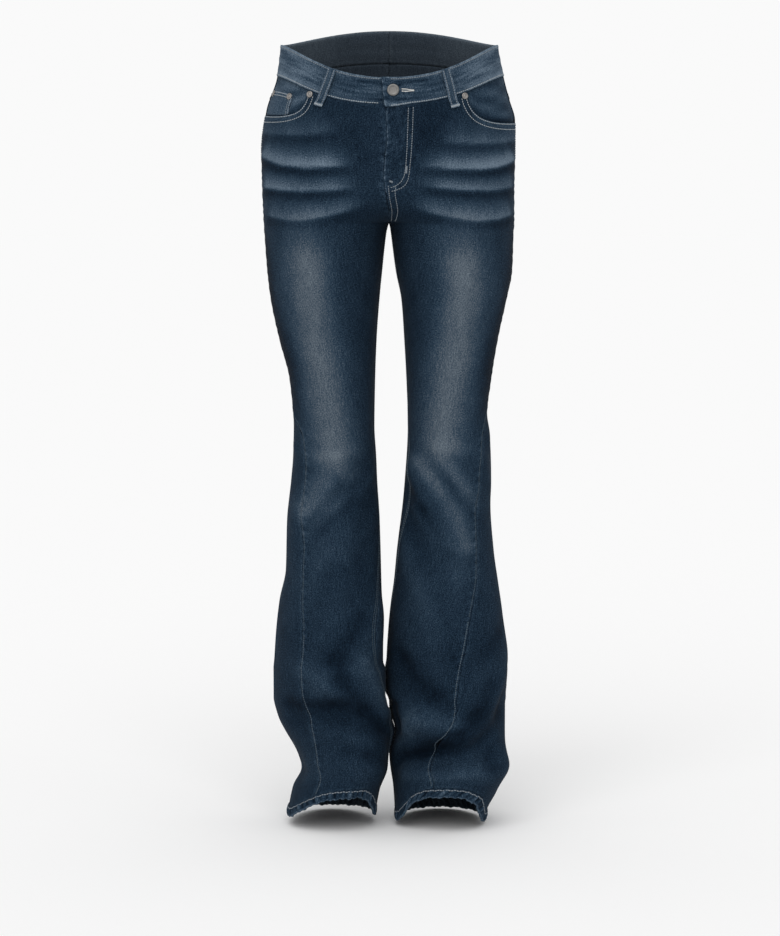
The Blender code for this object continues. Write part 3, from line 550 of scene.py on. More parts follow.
fades = {
    # weight, half width, then the middle line
    "strokes": (
        (0.72, 33, (-113, -296), (-107, -364), (-92, -448), (-81, -519), (-78, -556)),
        (0.40, 36, (-116, -262), (-110, -320)),
        (0.74, 34, (100, -300), (104, -330), (97, -378), (86, -448), (76, -512), (75, -543)),
        (0.42, 38, (98, -262), (102, -320)),
        (0.42, 18, (-58, -590), (-76, -574), (-102, -610), (-116, -636)),
        (0.28, 15, (-66, -618), (-88, -646), (-106, -672)),
        (0.24, 32, (-84, -640), (-92, -700)),
        (0.46, 15, (44, -572), (70, -608), (94, -650), (106, -690)),
        (0.36, 15, (74, -566), (96, -596), (112, -628)),
        (0.22, 24, (92, -690), (98, -730)),
        (0.16, 40, (-96, -690), (-92, -780)),
        (0.14, 42, (72, -710), (62, -800)),
    ),
}


def strokeDistance(x, z, line):
    # Distance to a line of points, how far above it, and how far along it
    best = np.full(x.shape, 1e9)
    above = np.zeros(x.shape)
    along = np.zeros(x.shape)
    total = 0.0
    for start, end in zip(line[:-1], line[1:]):
        dx = end[0] - start[0]
        dz = end[1] - start[1]
        length = math.hypot(dx, dz)
        share = np.clip(((x - start[0]) * dx + (z - start[1]) * dz) / length**2, 0, 1)
        nearX = start[0] + share * dx
        nearZ = start[1] + share * dz
        away = np.hypot(x - nearX, z - nearZ)
        closer = away < best
        best = np.where(closer, away, best)
        above = np.where(closer, z - nearZ, above)
        along = np.where(closer, total + share * length, along)
        total += length
    return best, above, along / total


def washAndShadeAt(points, p):
    x = points[..., 0] * 1000
    z = points[..., 2] * 1000
    front = smoothStep((0.06 - p) / 0.12)
    lines = np.zeros(x.shape)
    for weight, *line in whiskers["strokes"]:
        away, above, along = strokeDistance(x, z, line)
        taper = smoothStep(along / 0.06 + 0.35) * smoothStep((1 - along) / 0.34)
        soft = np.where(above > 0, whiskers["above"], whiskers["below"])
        uneven = 1 + 0.12 * np.sin(x * 0.05 + z * 0.03 + weight * 9)
        lines += weight * whiskers["strength"] * taper * uneven * np.exp(-((away / soft) ** 1.6))
        # Just below each stroke a dark band is painted: the shade of the crease
        dark = bell(above + 9.0, 7.0) * smoothStep((34 - away) / 12)
        lines -= weight * whiskers["line"] * taper * dark
    soft = np.zeros(x.shape)
    for weight, width, *line in fades["strokes"]:
        away, _, _ = strokeDistance(x, z, line)
        soft += (weight * bell(away, width)) ** 3
    # Darker beside the fly and down the outer thigh, and mottled over the fly
    besideFly = bell(np.abs(x) - 52, 24) * bell(z + 112, 40) * np.where(x > 0, 0.17, 0.05)
    downThigh = smoothStep((-z - 235) / 60) * smoothStep((z + 560) / 120)
    plain = besideFly + downThigh * smoothStep((p + 0.34) / 0.3) * 0.54
    mottle = np.sin(x * 0.55 + 2.1 * np.sin(z * 0.21)) * np.sin(z * 0.33 + 1.7 * np.sin(x * 0.3 + 1.0))
    overFly = smoothStep((27 - np.abs(x - 9)) / 8) * smoothStep((z + 205) / 8) * smoothStep((-z - 50) / 10)
    plain = plain - overFly * (0.03 + 0.19 * mottle)
    # The seat and the back of the thighs are worn too
    behind = smoothStep((p - 0.1) / 0.2)
    seat = bell(p - 0.55, 0.3) * bell(z + 190, 90) * 0.42
    thigh = bell(p - 0.5, 0.24) * bell(z + 420, 170) * 0.4
    grey = np.clip(np.cbrt(soft) * front / 0.5 + thigh * behind * 2, 0, 1)
    return (lines + np.cbrt(soft) - plain) * front + (seat + thigh) * behind, grey


def foldWearAndShade(side, p, level):
    # Folds are painted paler on their ridges, partly wear and partly painted highlight, and darker in
    # their troughs, painted shade where the shadow falls
    p = wrapped(p, level)
    z = bareSurface(side, p, level)[..., 2]
    low = smoothStep((-z - 480) / 60)
    wide = foldHeight(side, p, z, folds[side])
    fine = foldHeight(side, p, z, creases[side])
    below = low + (1 - low) * smoothStep((p + 0.05) / 0.1) * 0.6
    return (np.clip(wide * 0.018, -0.16, 0.1) + np.clip(fine * 0.085, -0.3, 0.2)) * below


# Cloth pieces

fabric = {
    "wall": 1.2,
    "bandWall": 2.4,
    "hemWall": 3.2,
    "loopWall": 1.6,
    "rowTimes": 7,
    "columnTimes": 5,
    "facingInset": 2.8,
    "seatLap": 0.007,
    "seatRise": 0.8,
    "crotchJoin": 1.4,
    "patchGap": 0.5,
    "patchWall": 1.0,
    "felledRise": 0.45,
    "pucker": 0.3,
    "yokeAtSide": 74.0,
    "yokeAtSeat": 112.0,
}
clothLift = -fabric["wall"] / 2
waistQuarter = np.pi / 2 * 150  # mm round the waist for one unit of p


def finer(grid, rowTimes, columnTimes):
    # The same grid with that many times the rows and columns
    for axis, times in ((0, rowTimes), (1, columnTimes)):
        rows = np.moveaxis(grid, axis, 0)
        count = (len(rows) - 1) * times
        at = np.arange(count + 1) / times
        low = np.minimum(at.astype(int), len(rows) - 2)
        share = (at - low).reshape(-1, *([1] * (rows.ndim - 1)))
        rows = rows[low] * (1 - share) + rows[low + 1] * share
        grid = np.moveaxis(rows, 0, axis)
    return grid


def runs(points, axis):
    # Length along the rows or the columns, in metres
    steps = np.linalg.norm(np.diff(points, axis=axis), axis=-1)
    return np.insert(np.cumsum(steps, axis=axis), 0, 0, axis=axis)


def layCloth(
    name, side, places, lift, wall, finish, closed=False, extraWash=0.0, seams="lrtb", bare="", felled=""
):
    points, normals = surface(side, places[..., 0], places[..., 1], lift)
    # The halves are drawn together where they meet at the crotch
    x = points[..., 0] * 1000
    z = points[..., 2] * 1000
    inward = bell(z + 239, 10) * smoothStep((7 - np.abs(x)) / 5)
    points[..., 0] -= sides[side] * fabric["crotchJoin"] * inward / 1000
    wash, grey = washAndShadeAt(points, places[..., 0])
    # the folds' painted shade and highlight are added to the wash here
    wash = wash + foldWearAndShade(side, places[..., 0], places[..., 1]) + extraWash
    across = runs(points, 1)
    down = runs(points, 0)
    width = across[:, -1:]
    height = down[-1:]
    gaps = {"l": across, "r": width - across, "t": down, "b": height - down}
    alongs = {"l": down, "r": down, "t": across, "b": across}
    farOff = np.full(across.shape, 0.05)
    nearest = np.min([farOff] + [gaps[key] for key in seams], axis=0) * 1000
    nearestBare = np.min([farOff] + [gaps[key] for key in bare], axis=0) * 1000
    if name == "frontLeft":
        # Only the fly's own edge is bare, down to its foot
        nearestBare = np.where(places[..., 1] > -203, nearestBare, np.minimum(gaps["t"] * 1000, 50))
    if name.startswith("front"):
        beside = gaps["t"] * 1000
        onScoop = smoothStep((places[..., 0] + pockets["scoopP"][side] + 0.04) / 0.04)
        wash = wash + 0.16 * bell(beside - 5, 5.0) * onScoop
    # A felled seam stands up beside the edge, and puckers along it
    for key in felled:
        away = gaps[key] * 1000
        run = alongs[key] * 1000
        pucker = np.sin(run / 1.9 + 1.4 * np.sin(run / 7.0)) * bell(away - 4, 5.0)
        rise = fabric["felledRise"] * np.exp(-((away / 6.5) ** 4)) + fabric["pucker"] * pucker
        points = points + normals * rise[..., None] / 1000
        wash = wash + 0.12 * pucker
    middle = across.shape[1] // 2
    cutX = across - across[:, middle : middle + 1]
    cutY = -down
    rows = points.shape[0] - 1
    columns = points.shape[1] - 1
    mesh = bmesh.new()
    bmesh.ops.create_grid(mesh, x_segments=columns, y_segments=rows, size=1)
    uv = mesh.loops.layers.uv.new("cut")
    marks = {"wash": wash, "edge": nearest, "bareEdge": nearestBare, "grey": grey}
    layers = [(mesh.verts.layers.float.new(key), values) for key, values in marks.items()]
    spots = {}
    for vert in mesh.verts:
        spots[vert] = (round((1 - vert.co.y) / 2 * rows), round((1 + vert.co.x) / 2 * columns))
    for face in mesh.faces:
        for loop in face.loops:
            spot = spots[loop.vert]
            loop[uv].uv = (cutX[spot], cutY[spot])
    for vert, spot in spots.items():
        vert.co = points[spot]
        for layer, values in layers:
            vert[layer] = values[spot]
    if closed:
        bmesh.ops.remove_doubles(mesh, verts=mesh.verts[:], dist=1e-6)
    if side == "right":
        bmesh.ops.reverse_faces(mesh, faces=mesh.faces[:])
    piece = addPiece(name, mesh, [finish, denimInside])
    solidify = piece.modifiers.new("wall", "SOLIDIFY")
    solidify.thickness = wall / 1000
    solidify.offset = 0
    solidify.material_offset = 1
    solidify.material_offset_rim = 0
    return piece


def addObject(name, mesh, finishes):
    data = bpy.data.meshes.new(name)
    mesh.to_mesh(data)
    mesh.free()
    for finish in finishes:
        data.materials.append(finish)
    added = bpy.data.objects.new(name, data)
    bpy.context.scene.collection.objects.link(added)
    return added


def addPiece(name, mesh, finishes):
    piece = addObject(name, mesh, finishes)
    piece.data.shade_smooth()
    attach(piece, "root")
    return piece


def spread(cells, power=1.0):
    return (np.arange(cells + 1) / cells) ** power


def hemTop(side):
    return -(hemSide[side] - shape["hemHeight"])


def lowerLevels(side):
    calf = np.linspace(-shape["flareTop"], -880, 17)
    return np.concatenate([calf, np.linspace(-880, hemTop(side), 11)[1:]])


def legLevels(side, top):
    seat = np.linspace(top, -shape["waistFlat"], 5)
    turn = np.sin(np.radians([15, 30, 45, 60, 75, 90]))
    crotch = -shape["frontRiseTurn"] - turn * (shape["crotch"] - shape["frontRiseTurn"])
    thigh = np.linspace(-258, -shape["flareTop"], 7)
    return np.concatenate([seat, crotch, thigh, lowerLevels(side)[1:]])


def panelGrid(frontEdge, backEdge, shares, top=None, fade=5):
    grid = frontEdge[:, None] + (backEdge - frontEdge)[:, None] * shares[None, :, None]
    if top is not None:
        left = 1 - smoothStep(np.arange(len(grid)) / fade)
        grid = grid + left[:, None, None] * (top - grid[0])[None]
    return grid


pockets = {
    "scoopP": {"left": 0.585, "right": 0.555},
    "scoopDepth": {"left": 64.0, "right": 54.0},
    "scoopSquare": 0.6,
    "facingP": 0.66,
    "facingDepth": 76.0,
    "tuckedUnder": 3.0,
    "backRows": (1, 11),
    "backColumns": (3, 9),
    "backCorners": 0.9,
}


def scoop(side, share):
    angle = np.pi / 2 * np.sin(np.pi / 2 * share)
    p = -pockets["scoopP"][side] * np.cos(angle) ** pockets["scoopSquare"]
    level = -shape["bandHeight"] - pockets["scoopDepth"][side] * np.sin(angle) ** pockets["scoopSquare"]
    return placesAt(np.where(share >= 1, 0.0, p), level)


def scoopEdge(side, p):
    # The level of the pocket's opening at p
    line = scoop(side, np.linspace(0, 1, 400))
    return np.interp(p, line[:, 0], line[:, 1])


def flareSeam(side, level):
    return flareSeamAt[side](level) - sides[side] * turnAt(level) / 180


def inseam(side, level):
    return inseamAt[side](level) + sides[side] * turnAt(level) / 180


def flyEdge(side, levels):
    reach = flyAt(levels)
    shift = reach if side == "left" else -reach
    legs = np.where(levels < -shape["crotch"], inseam(side, levels), 1.0)
    return -(legs + shift)


def bandBottom(side, p):
    droop = 5.0 if side == "left" else 0
    return -shape["bandHeight"] - droop * smoothStep((-0.9 - p) / 0.12)


def frontGrid(side, rowTimes=1, columnTimes=1):
    # Worked out with fine rows, so that the pocket's edge is a smooth curve
    levels = finer(legLevels(side, -shape["bandHeight"])[:, None], rowTimes, 1)[:, 0]
    sideLevels = finer(legLevels(side, scoop(side, np.array(1.0))[1])[:, None], rowTimes, 1)[:, 0]
    outerP = np.where(sideLevels < -shape["flareTop"], flareSeam(side, sideLevels), 0.0)
    coarse = spread(14, 1.15)
    shares = finer(coarse[:, None], columnTimes, 1)[:, 0]
    frontEdge = placesAt(flyEdge(side, levels), levels)
    backEdge = placesAt(outerP, sideLevels)
    plain = frontEdge[0, 0] + (0 - frontEdge[0, 0]) * coarse
    before = int(np.argmin(np.abs(plain + pockets["scoopP"][side]))) * columnTimes
    reach = -pockets["scoopP"][side] - frontEdge[0, 0]
    topP = frontEdge[0, 0] + reach * shares / shares[before]
    top = placesAt(topP, bandBottom(side, topP))
    top[before:] = scoop(side, np.linspace(0, 1, len(shares) - before))
    grid = panelGrid(frontEdge, backEdge, shares, top, 5 * rowTimes)
    grid[0, : before + 1, 1] += pockets["tuckedUnder"]
    return grid


def flareGrid(side):
    levels = lowerLevels(side)
    levels[0] += 0.15 * (levels[1] - levels[0])
    return panelGrid(placesAt(flareSeam(side, levels), levels), placesAt(0.0, levels), spread(4))


def yokeLine(p):
    return -(fabric["yokeAtSide"] + (fabric["yokeAtSeat"] - fabric["yokeAtSide"]) * p)


def backGrid(side):
    shares = 1 - spread(11, 1.2)[::-1]
    sideLevels = legLevels(side, -fabric["yokeAtSide"])
    levels = legLevels(side, -fabric["yokeAtSeat"])
    seat = 1.0 + (fabric["seatLap"] if side == "left" else 0.0)
    inner = np.where(levels < -shape["crotch"], 2 - inseam(side, levels), seat)
    return panelGrid(placesAt(0.0, sideLevels), placesAt(inner, levels), shares)


def seatLift(side, grid):
    # The left half laps over the right one down the centre back
    aboveCrotch = grid[..., 1] + shape["crotch"]
    over = smoothStep((grid[..., 0] - 0.955) / 0.03) * smoothStep(aboveCrotch / 20)
    return clothLift + (fabric["seatRise"] if side == "left" else 0.0) * over


def yokeGrid(side):
    shares = (1 - spread(11, 1.2)[::-1]) * (1 + (fabric["seatLap"] if side == "left" else 0.0))
    down = np.linspace(0, 1, 4)[:, None]
    top = -shape["bandHeight"]
    grid = finer(placesAt(shares, top + down * (yokeLine(shares) - top)), 6, fabric["columnTimes"])
    grid[0, :, 1] += pockets["tuckedUnder"]
    return grid


def facingGrid(side):
    # It runs on a little past the side seam, behind the back
    p = -pockets["facingP"] + (pockets["facingP"] + 0.03) * spread(42)
    top = -shape["bandHeight"] + pockets["tuckedUnder"]
    level = np.linspace(top, -shape["bandHeight"] - pockets["facingDepth"], 28)
    grid = placesAt(p[None], level[:, None])
    edge = scoopEdge(side, p)
    seen = smoothStep((grid[..., 1] - edge[None] - 2) / 8)
    lift = clothLift - fabric["facingInset"] + 1.5 * smoothStep((grid[..., 0] + 0.1) / 0.1) * seen
    # The opening gapes a little: painted shadow along its edge, under the front's lip, with soft arcs of
    # painted light and shade above for small folds
    above = grid[..., 1] - edge[None]
    paintedFoldArcs = 0.6 * np.sin(above / 4.6 + grid[..., 0] * 9 + 1.5)
    paintedFoldArcs = paintedFoldArcs + 0.4 * np.sin(above / 2.9 - grid[..., 0] * 14)
    return grid, lift, 0.17 * paintedFoldArcs - 0.5 * bell(above, 8.0)


def backPocketGrid(side):
    # Cut from the back's own grid, with a point at the bottom
    (top, bottom), (first, last) = pockets["backRows"], pockets["backColumns"]
    grid = finer(backGrid(side)[top : bottom + 1, first : last + 1], 6, 6)
    share = np.abs(np.linspace(-1, 1, grid.shape[1]))
    rise = smoothStep(1 - (len(grid) - 1 - np.arange(len(grid))) / 14.0)
    step = (grid[-7] - grid[-1]) * np.array([0, 1])
    return grid + (share[None] * rise[:, None] * pockets["backCorners"])[..., None] * step[None]


def layPiece(node, side, grid, lift, wall, finish, **looks):
    first, *rest = node.split("_")
    name = first + "".join(word.title() for word in rest)
    layCloth(name, side, grid, lift, fabric[wall], finish, **looks)


for side in sides:
    grid = frontGrid(side, fabric["rowTimes"], fabric["columnTimes"])
    bare = "tl" if side == "left" else "t"
    layPiece(f"front_{side}", side, grid, clothLift, "wall", denim, bare=bare, felled="lr")
    grid = finer(flareGrid(side), fabric["rowTimes"], 8)
    layPiece(f"flare_panel_{side}", side, grid, clothLift, "wall", denim)
    grid = finer(backGrid(side), fabric["rowTimes"], fabric["columnTimes"])
    layPiece(f"back_{side}", side, grid, seatLift(side, grid), "wall", denim)
    grid = yokeGrid(side)
    layPiece(f"yoke_{side}", side, grid, seatLift(side, grid), "wall", denim, extraWash=0.12, felled="b")
    grid, lift, facingLightAndShade = facingGrid(side)
    # Both facings are washed paler; the left one is set darker, painted shade where it lies in shadow
    facingWashAndShade = facingLightAndShade + (0.48 if side == "right" else 0.28)
    layPiece(f"pocket_facing_{side}", side, grid, lift, "wall", denim, extraWash=facingWashAndShade, seams="")
    grid = backPocketGrid(side)
    lift = fabric["patchGap"] + fabric["patchWall"] / 2
    layPiece(f"back_pocket_{side}", side, grid, lift, "patchWall", denim, extraWash=0.14, bare="lrtb")


def bandWash(p, level):
    # Paler over the hips, darker round the button, worn along both edges
    hips = smoothStep((0.9 - np.abs(p)) / 0.5)
    return 0.26 + 0.42 * hips + 0.16 * smoothStep((level + 7) / 6)


def overlapLift(p):
    # The left half of the band stands out where it laps over the right
    return 2.2 * smoothStep((-0.95 - p) / 0.06)


def waistband(side):
    down = np.linspace(0, 1, 15)[:, None]
    reach = 7.2 - 4.0 * down if side == "left" else 30.0  # past the centre front
    start = -1 - reach / waistQuarter
    p = start + (1 - start) * np.broadcast_to(spread(150), (15, 151))
    level = down * (bandBottom(side, p) + 0.4)
    # Rolled edges, and shallow creases along the band
    wide = shape["bandHeight"]
    roll = 0.35 * (bell(down * wide, 3.0) + bell((1 - down) * wide, 3.0))
    run = p * waistQuarter
    crease = 0.28 * np.sin(down * 19 + 1.3 * np.sin(run / 23) + run / 60) * np.sin(np.pi * down)
    lift = clothLift + roll + crease * smoothStep((np.sin(run / 31 + 2.0 * down) + 0.6) / 1.2)
    if side == "left":
        lift = lift + overlapLift(p)
    else:
        lift = lift - smoothStep((-0.86 - p) / 0.1) * 2.9
    wash = bandWash(p, level)
    grid = placesAt(p, level)
    layPiece(f"waistband_{side}", side, grid, lift, "bandWall", bandDenim, extraWash=wash, bare="ltb")


def hem(side):
    coarse = (frontGrid(side)[-1, :-1, 0], flareGrid(side)[-1, :-1, 0], backGrid(side)[-1, :-1, 0])
    p = np.concatenate(coarse)
    p = np.append(p, p[0] + 2)
    p = finer((np.unwrap(p * np.pi) / np.pi)[:, None], 14, 1)[:, 0]
    level = np.linspace(hemTop(side) + 0.2, -hemSide[side], 10)
    turns, level = np.broadcast_arrays(p[None], level[:, None])
    uneven = 0.7 * np.sin(turns * 47 * np.pi + 0.6) + 0.5 * np.sin(turns * 18 * np.pi)
    # The hem is roped: short ridges lean along it
    down = np.clip((hemTop(side) - level) / shape["hemHeight"], 0, 1)
    rope = 0.6 * np.sin(turns * 47 * np.pi + down * 5.0)
    rope = rope + 0.4 * np.sin(turns * 29 * np.pi + down * 3.4 + 1.0)
    rope = rope + 0.35 * np.sin(turns * 11 * np.pi + 2.0)
    swell = np.sin(np.pi * down) ** 0.7
    lift = -0.5 + 1.3 * rope * swell
    level = level + uneven * smoothStep((down - 0.5) / 0.5)
    grid = placesAt(np.where(turns > 1, turns - 2, turns), level)
    wash = 0.06 + 0.42 * rope * swell + 0.22 * smoothStep((down - 0.8) / 0.2)
    looks = {"extraWash": wash, "seams": "", "bare": "b"}
    layPiece(f"hem_{side}", side, grid, lift, "hemWall", denim, closed=True, **looks)


beltLoops = {
    "length": 61.0,
    "halfWidth": 6.0,
    "barAt": 0.955,
    # node: side, p at the top and at the foot
    "places": {
        "belt_loop_front_left": ("left", -0.7, -0.678),
        "belt_loop_front_right": ("right", -0.69, -0.646),
        "belt_loop_back_left": ("left", 0.52, 0.5),
        "belt_loop_back_right": ("right", 0.52, 0.5),
        "belt_loop_back_centre": ("left", 1.0, 1.0),
    },
}


def loopLift(share):
    bow = np.sin(np.pi * np.clip(share * 62.0 / shape["bandHeight"], 0, 1)) ** 0.6
    bar = 1.3 * bell(share - beltLoops["barAt"], 0.04) + 0.5 * bell(share - 0.03, 0.03)
    return 1.9 + 2.7 * np.clip(bow, 0, 1) + bar


def beltLoop(node, side, topP, bottomP):
    share = np.linspace(0, 1, 41)[:, None]
    half = beltLoops["halfWidth"] / waistQuarter
    p = topP + (bottomP - topP) * share + np.linspace(-half, half, 13)
    crown = 0.35 * np.cos(np.linspace(-1, 1, 13) * 7.0)
    wash = 0.42 + 0.5 * bell(share - beltLoops["barAt"], 0.04) - 0.3 * bell(share - 0.87, 0.035)
    grid = placesAt(p, -1 - share * beltLoops["length"])
    looks = {"extraWash": wash, "seams": "", "bare": "lrb"}
    layPiece(node, side, grid, loopLift(share) + crown, "loopWall", denim, **looks)


coinPlace = {"inner": -0.42, "wide": 0.36, "top": -59.0, "slant": -4.0, "lift": -1.8}


def coinTop(p):
    return coinPlace["top"] + coinPlace["slant"] * (p - coinPlace["inner"]) / coinPlace["wide"]


def coinPocket():
    p = coinPlace["inner"] + coinPlace["wide"] * spread(25)
    top = coinTop(p)
    bottom = scoopEdge("right", p) + 1.2
    grid = placesAt(p, top + np.linspace(0, 1, 13)[:, None] * (bottom - top))
    looks = {"extraWash": 0.46, "seams": "tlr", "bare": "tl"}
    layPiece("coin_pocket", "right", grid, coinPlace["lift"], "patchWall", denim, **looks)


for side in sides:
    waistband(side)
    hem(side)
coinPocket()
for node, place in beltLoops["places"].items():
    beltLoop(node, *place)

# Each piece as it was cut, without what is folded out of sight: slot, width, length, area
cuts = {
    "front_left": ("denim", 0.25, 1.05, 0.180),
    "front_right": ("denim", 0.25, 1.05, 0.178),
    "flare_panel_left": ("denim", 0.17, 0.59, 0.053),
    "flare_panel_right": ("denim", 0.09, 0.58, 0.038),
    "back_left": ("denim", 0.28, 1.04, 0.240),
    "back_right": ("denim", 0.29, 1.04, 0.248),
    "yoke_left": ("denim", 0.225, 0.085, 0.0134),
    "yoke_right": ("denim", 0.225, 0.085, 0.0133),
    "back_pocket_left": ("denim", 0.155, 0.155, 0.0199),
    "back_pocket_right": ("denim", 0.155, 0.155, 0.0201),
    "pocket_facing_left": ("washed_denim", 0.14, 0.08, 0.0097),
    "pocket_facing_right": ("washed_denim", 0.14, 0.08, 0.0098),
    "coin_pocket": ("washed_denim", 0.066, 0.034, 0.0021),
    "waistband_left": ("washed_denim", 0.43, 0.044, 0.0176),
    "waistband_right": ("washed_denim", 0.455, 0.044, 0.0184),
    "hem_left": ("hem_denim", 0.53, 0.014, 0.0069),
    "hem_right": ("hem_denim", 0.51, 0.014, 0.0066),
    "belt_loop_front_left": ("washed_denim", 0.0124, 0.055, 0.00067),
    "belt_loop_front_right": ("washed_denim", 0.0124, 0.055, 0.00067),
    "belt_loop_back_left": ("washed_denim", 0.0105, 0.067, 0.00069),
    "belt_loop_back_right": ("washed_denim", 0.0105, 0.067, 0.00069),
    "belt_loop_back_centre": ("washed_denim", 0.017, 0.068, 0.00109),
}
for node, (slotName, width, length, area) in cuts.items():
    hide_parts(node)


# Metal pieces, turned from a profile of (radius, height) in mm

buttonProfile = (
    (0, 4.35), (2.0, 4.4), (4.2, 4.45), (4.9, 4.5), (5.3, 4.75), (5.8, 4.85), (6.4, 4.95), (7.2, 4.9),
    (7.8, 4.6), (8.15, 4.1), (8.2, 3.6), (7.9, 3.0), (7.0, 2.5), (5.6, 2.35), (2.0, 2.3), (1.9, -1.6),
    (0, -1.6),
)
rivetProfile = (
    (0, 1.9), (0.9, 1.85), (1.5, 1.55), (1.8, 1.2), (2.2, 1.15), (2.7, 1.5), (3.4, 1.6), (4.1, 1.35),
    (4.6, 0.8), (4.7, 0.2), (4.6, 0), (0, 0),
)


def turnedPiece(name, profile, side, p, level, lift, finish):
    mesh = bmesh.new()
    corners = [mesh.verts.new((radius / 1000, 0, up / 1000)) for radius, up in profile]
    line = [mesh.edges.new(pair) for pair in zip(corners[:-1], corners[1:])]
    whole = {"cent": (0, 0, 0), "axis": (0, 0, 1), "angle": 2 * math.pi, "steps": 40, "use_merge": True}
    bmesh.ops.spin(mesh, geom=corners + line, **whole)
    bmesh.ops.remove_doubles(mesh, verts=mesh.verts[:], dist=1e-6)
    bmesh.ops.recalc_face_normals(mesh, faces=mesh.faces[:])
    points, normals = surface(side, np.array([p]), np.array([level]), lift)
    normal = Vector(normals[0])
    across = Vector((0, 0, 1)).cross(normal).normalized()
    above = normal.cross(across)
    turn = Matrix((across, above, normal)).transposed().to_4x4()
    bmesh.ops.transform(mesh, matrix=Matrix.Translation(Vector(points[0])) @ turn, verts=mesh.verts[:])
    return addPiece(name, mesh, [finish])


metal = {
    "button": ("buttonFace", buttonProfile, "left", -0.985, -19.0, 0.0, silver),
    "rivet_pocket_left": ("rivetPocketLeft", rivetProfile, "left", -0.6, -48.5, 0.4, rivetMetal),
    "rivet_pocket_right": ("rivetPocketRight", rivetProfile, "right", -0.566, -48.5, 0.4, rivetMetal),
    "rivet_coin_inner": ("rivetCoinInner", rivetProfile, "right", -0.392, -62.5, -0.9, rivetMetal),
    "rivet_coin_outer": ("rivetCoinOuter", rivetProfile, "right", -0.115, -66.0, -0.9, rivetMetal),
}
for node, row in metal.items():
    piece = turnedPiece(*row)
    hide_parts(node)
print("button and rivets turned")


# Sewing: rows of small stitches along lines of (p, level, lift) on the cloth

sewing = {"pitch": 3.2, "length": 2.85, "radius": 0.62, "flatness": 0.65, "atOnce": 24}
threads = {}


def ontoFront(side, x, z):
    # The places on the front whose points are at (x, z)
    low = np.full(len(x), -1.02)
    high = np.zeros(len(x))
    level = np.array(z, float)
    for _ in range(28):
        p = (low + high) / 2
        points = bareSurface(side, p, level)
        level = level + (z - points[..., 2])
        tooWide = points[..., 0] > np.abs(x)
        low, high = np.where(tooWide, low, p), np.where(tooWide, p, high)
    return p, level


def sew(group, side, places, lift=0.3, finish=None, pitch=None, length=None, radius=None, crosswise=False):
    chosen = {"pitch": pitch, "length": length, "radius": radius}
    pitch, length, radius = ((value or sewing[key]) / 1000 for key, value in chosen.items())
    places = np.asarray(places, float)
    if places.shape[1] == 2:
        places = np.insert(places, 2, lift, axis=1)
    places = finer(places[:, None], max(1, int(600 / len(places))), 1)[:, 0]
    points, normals = surface(side, places[:, 0], places[:, 1], places[:, 2])
    run = runs(points, 0)
    at = (np.arange(int(run[-1] / pitch)) + 0.5) * pitch
    centres, ahead, behind = (
        np.stack([np.interp(at + step, run, points[:, axis]) for axis in range(3)], axis=-1)
        for step in (0, 5e-4, -5e-4)
    )
    ups = np.stack([np.interp(at, run, normals[:, axis]) for axis in range(3)], axis=-1)
    mesh = None
    # A few at a time, because a large mesh grows slowly
    for number, centre in enumerate(centres):
        if number % sewing["atOnce"] == 0:
            mesh = bmesh.new()
        along = Vector(ahead[number] - behind[number]).normalized()
        beside = Vector(ups[number]).cross(along).normalized()
        up = along.cross(beside)
        if crosswise:
            along, beside = beside, along
        axes = (up * radius * sewing["flatness"], beside * radius, along * length / 2)
        place = Matrix.Translation(Vector(centre)) @ Matrix(axes).transposed().to_4x4()
        bmesh.ops.create_uvsphere(mesh, u_segments=6, v_segments=4, radius=1, matrix=place)
        if number % sewing["atOnce"] == sewing["atOnce"] - 1 or number == len(centres) - 1:
            bmesh.ops.recalc_face_normals(mesh, faces=mesh.faces[:])
            row = bpy.data.meshes.new("row")
            mesh.to_mesh(row)
            mesh.free()
            threads.setdefault((group, finish or paleThread), []).append(row)


def sewFront(group, side, line, **sizes):
    line = finer(np.abs(np.array(line, float))[:, None], 8, 1)[:, 0]
    p, level = ontoFront(side, line[:, 0], -line[:, 1])
    sew(group, side, placesAt(p, level), **sizes)


def besideLine(line, inside, millimetres=236.0):
    # A line of places moved sideways by that many millimetres
    scale = np.array([millimetres, 1.0])
    ahead = np.gradient(line * scale, axis=0)
    ahead = ahead / np.maximum(np.linalg.norm(ahead, axis=-1, keepdims=True), 1e-9)
    return line + np.stack([ahead[:, 1], -ahead[:, 0]], axis=-1) * inside / scale


fly = {
    "outer": (
        (32.9, -86), (32.2, -108), (31.2, -131), (30, -150), (28.5, -164.5), (27.6, -175), (26, -184),
        (22.5, -191), (17, -195.5), (11, -198), (5.4, -199.6), (0.5, -200.8),
    ),
    "inner": (
        (26.3, -87), (25.6, -110), (24.4, -143), (23.4, -158), (22.4, -170), (20.4, -180), (16.3, -187.4),
        (10.5, -192), (4.1, -194.6), (0.5, -195.6),
    ),
}
for line in fly.values():
    sewFront("flyStitches", "left", line)
levels = np.linspace(-192, -242, 30)
for inside in (0.014, 0.04):
    sew("flyStitches", "left", placesAt(flyEdge("left", levels) + inside, levels))
# Bar tacks at the foot of the fly
barTack = {"pitch": 0.7, "length": 3.0, "radius": 0.4, "crosswise": True}
for line in (((0.5, -186), (5.5, -188)), ((24, -166), (23.2, -176))):
    sewFront("flyStitches", "left", line, **barTack)
# The buttonhole's edge, in white
holeEdge = {"finish": whiteThread, "pitch": 0.8, "radius": 0.45, "crosswise": True}
holeLift = 3.1
for offset in (-1.7, 1.7):
    row = ((-0.948, -19.6 + offset), (-0.925, -20.4 + offset), (-0.9, -21.2 + offset * 0.3))
    sew("buttonholeStitches", "left", row, lift=holeLift, length=1.5, **holeEdge)
row = ((-0.903, -21.2, holeLift - 0.3), (-0.888, -21.6, holeLift - 0.7))
sew("buttonholeStitches", "left", row, length=2.6, **holeEdge)

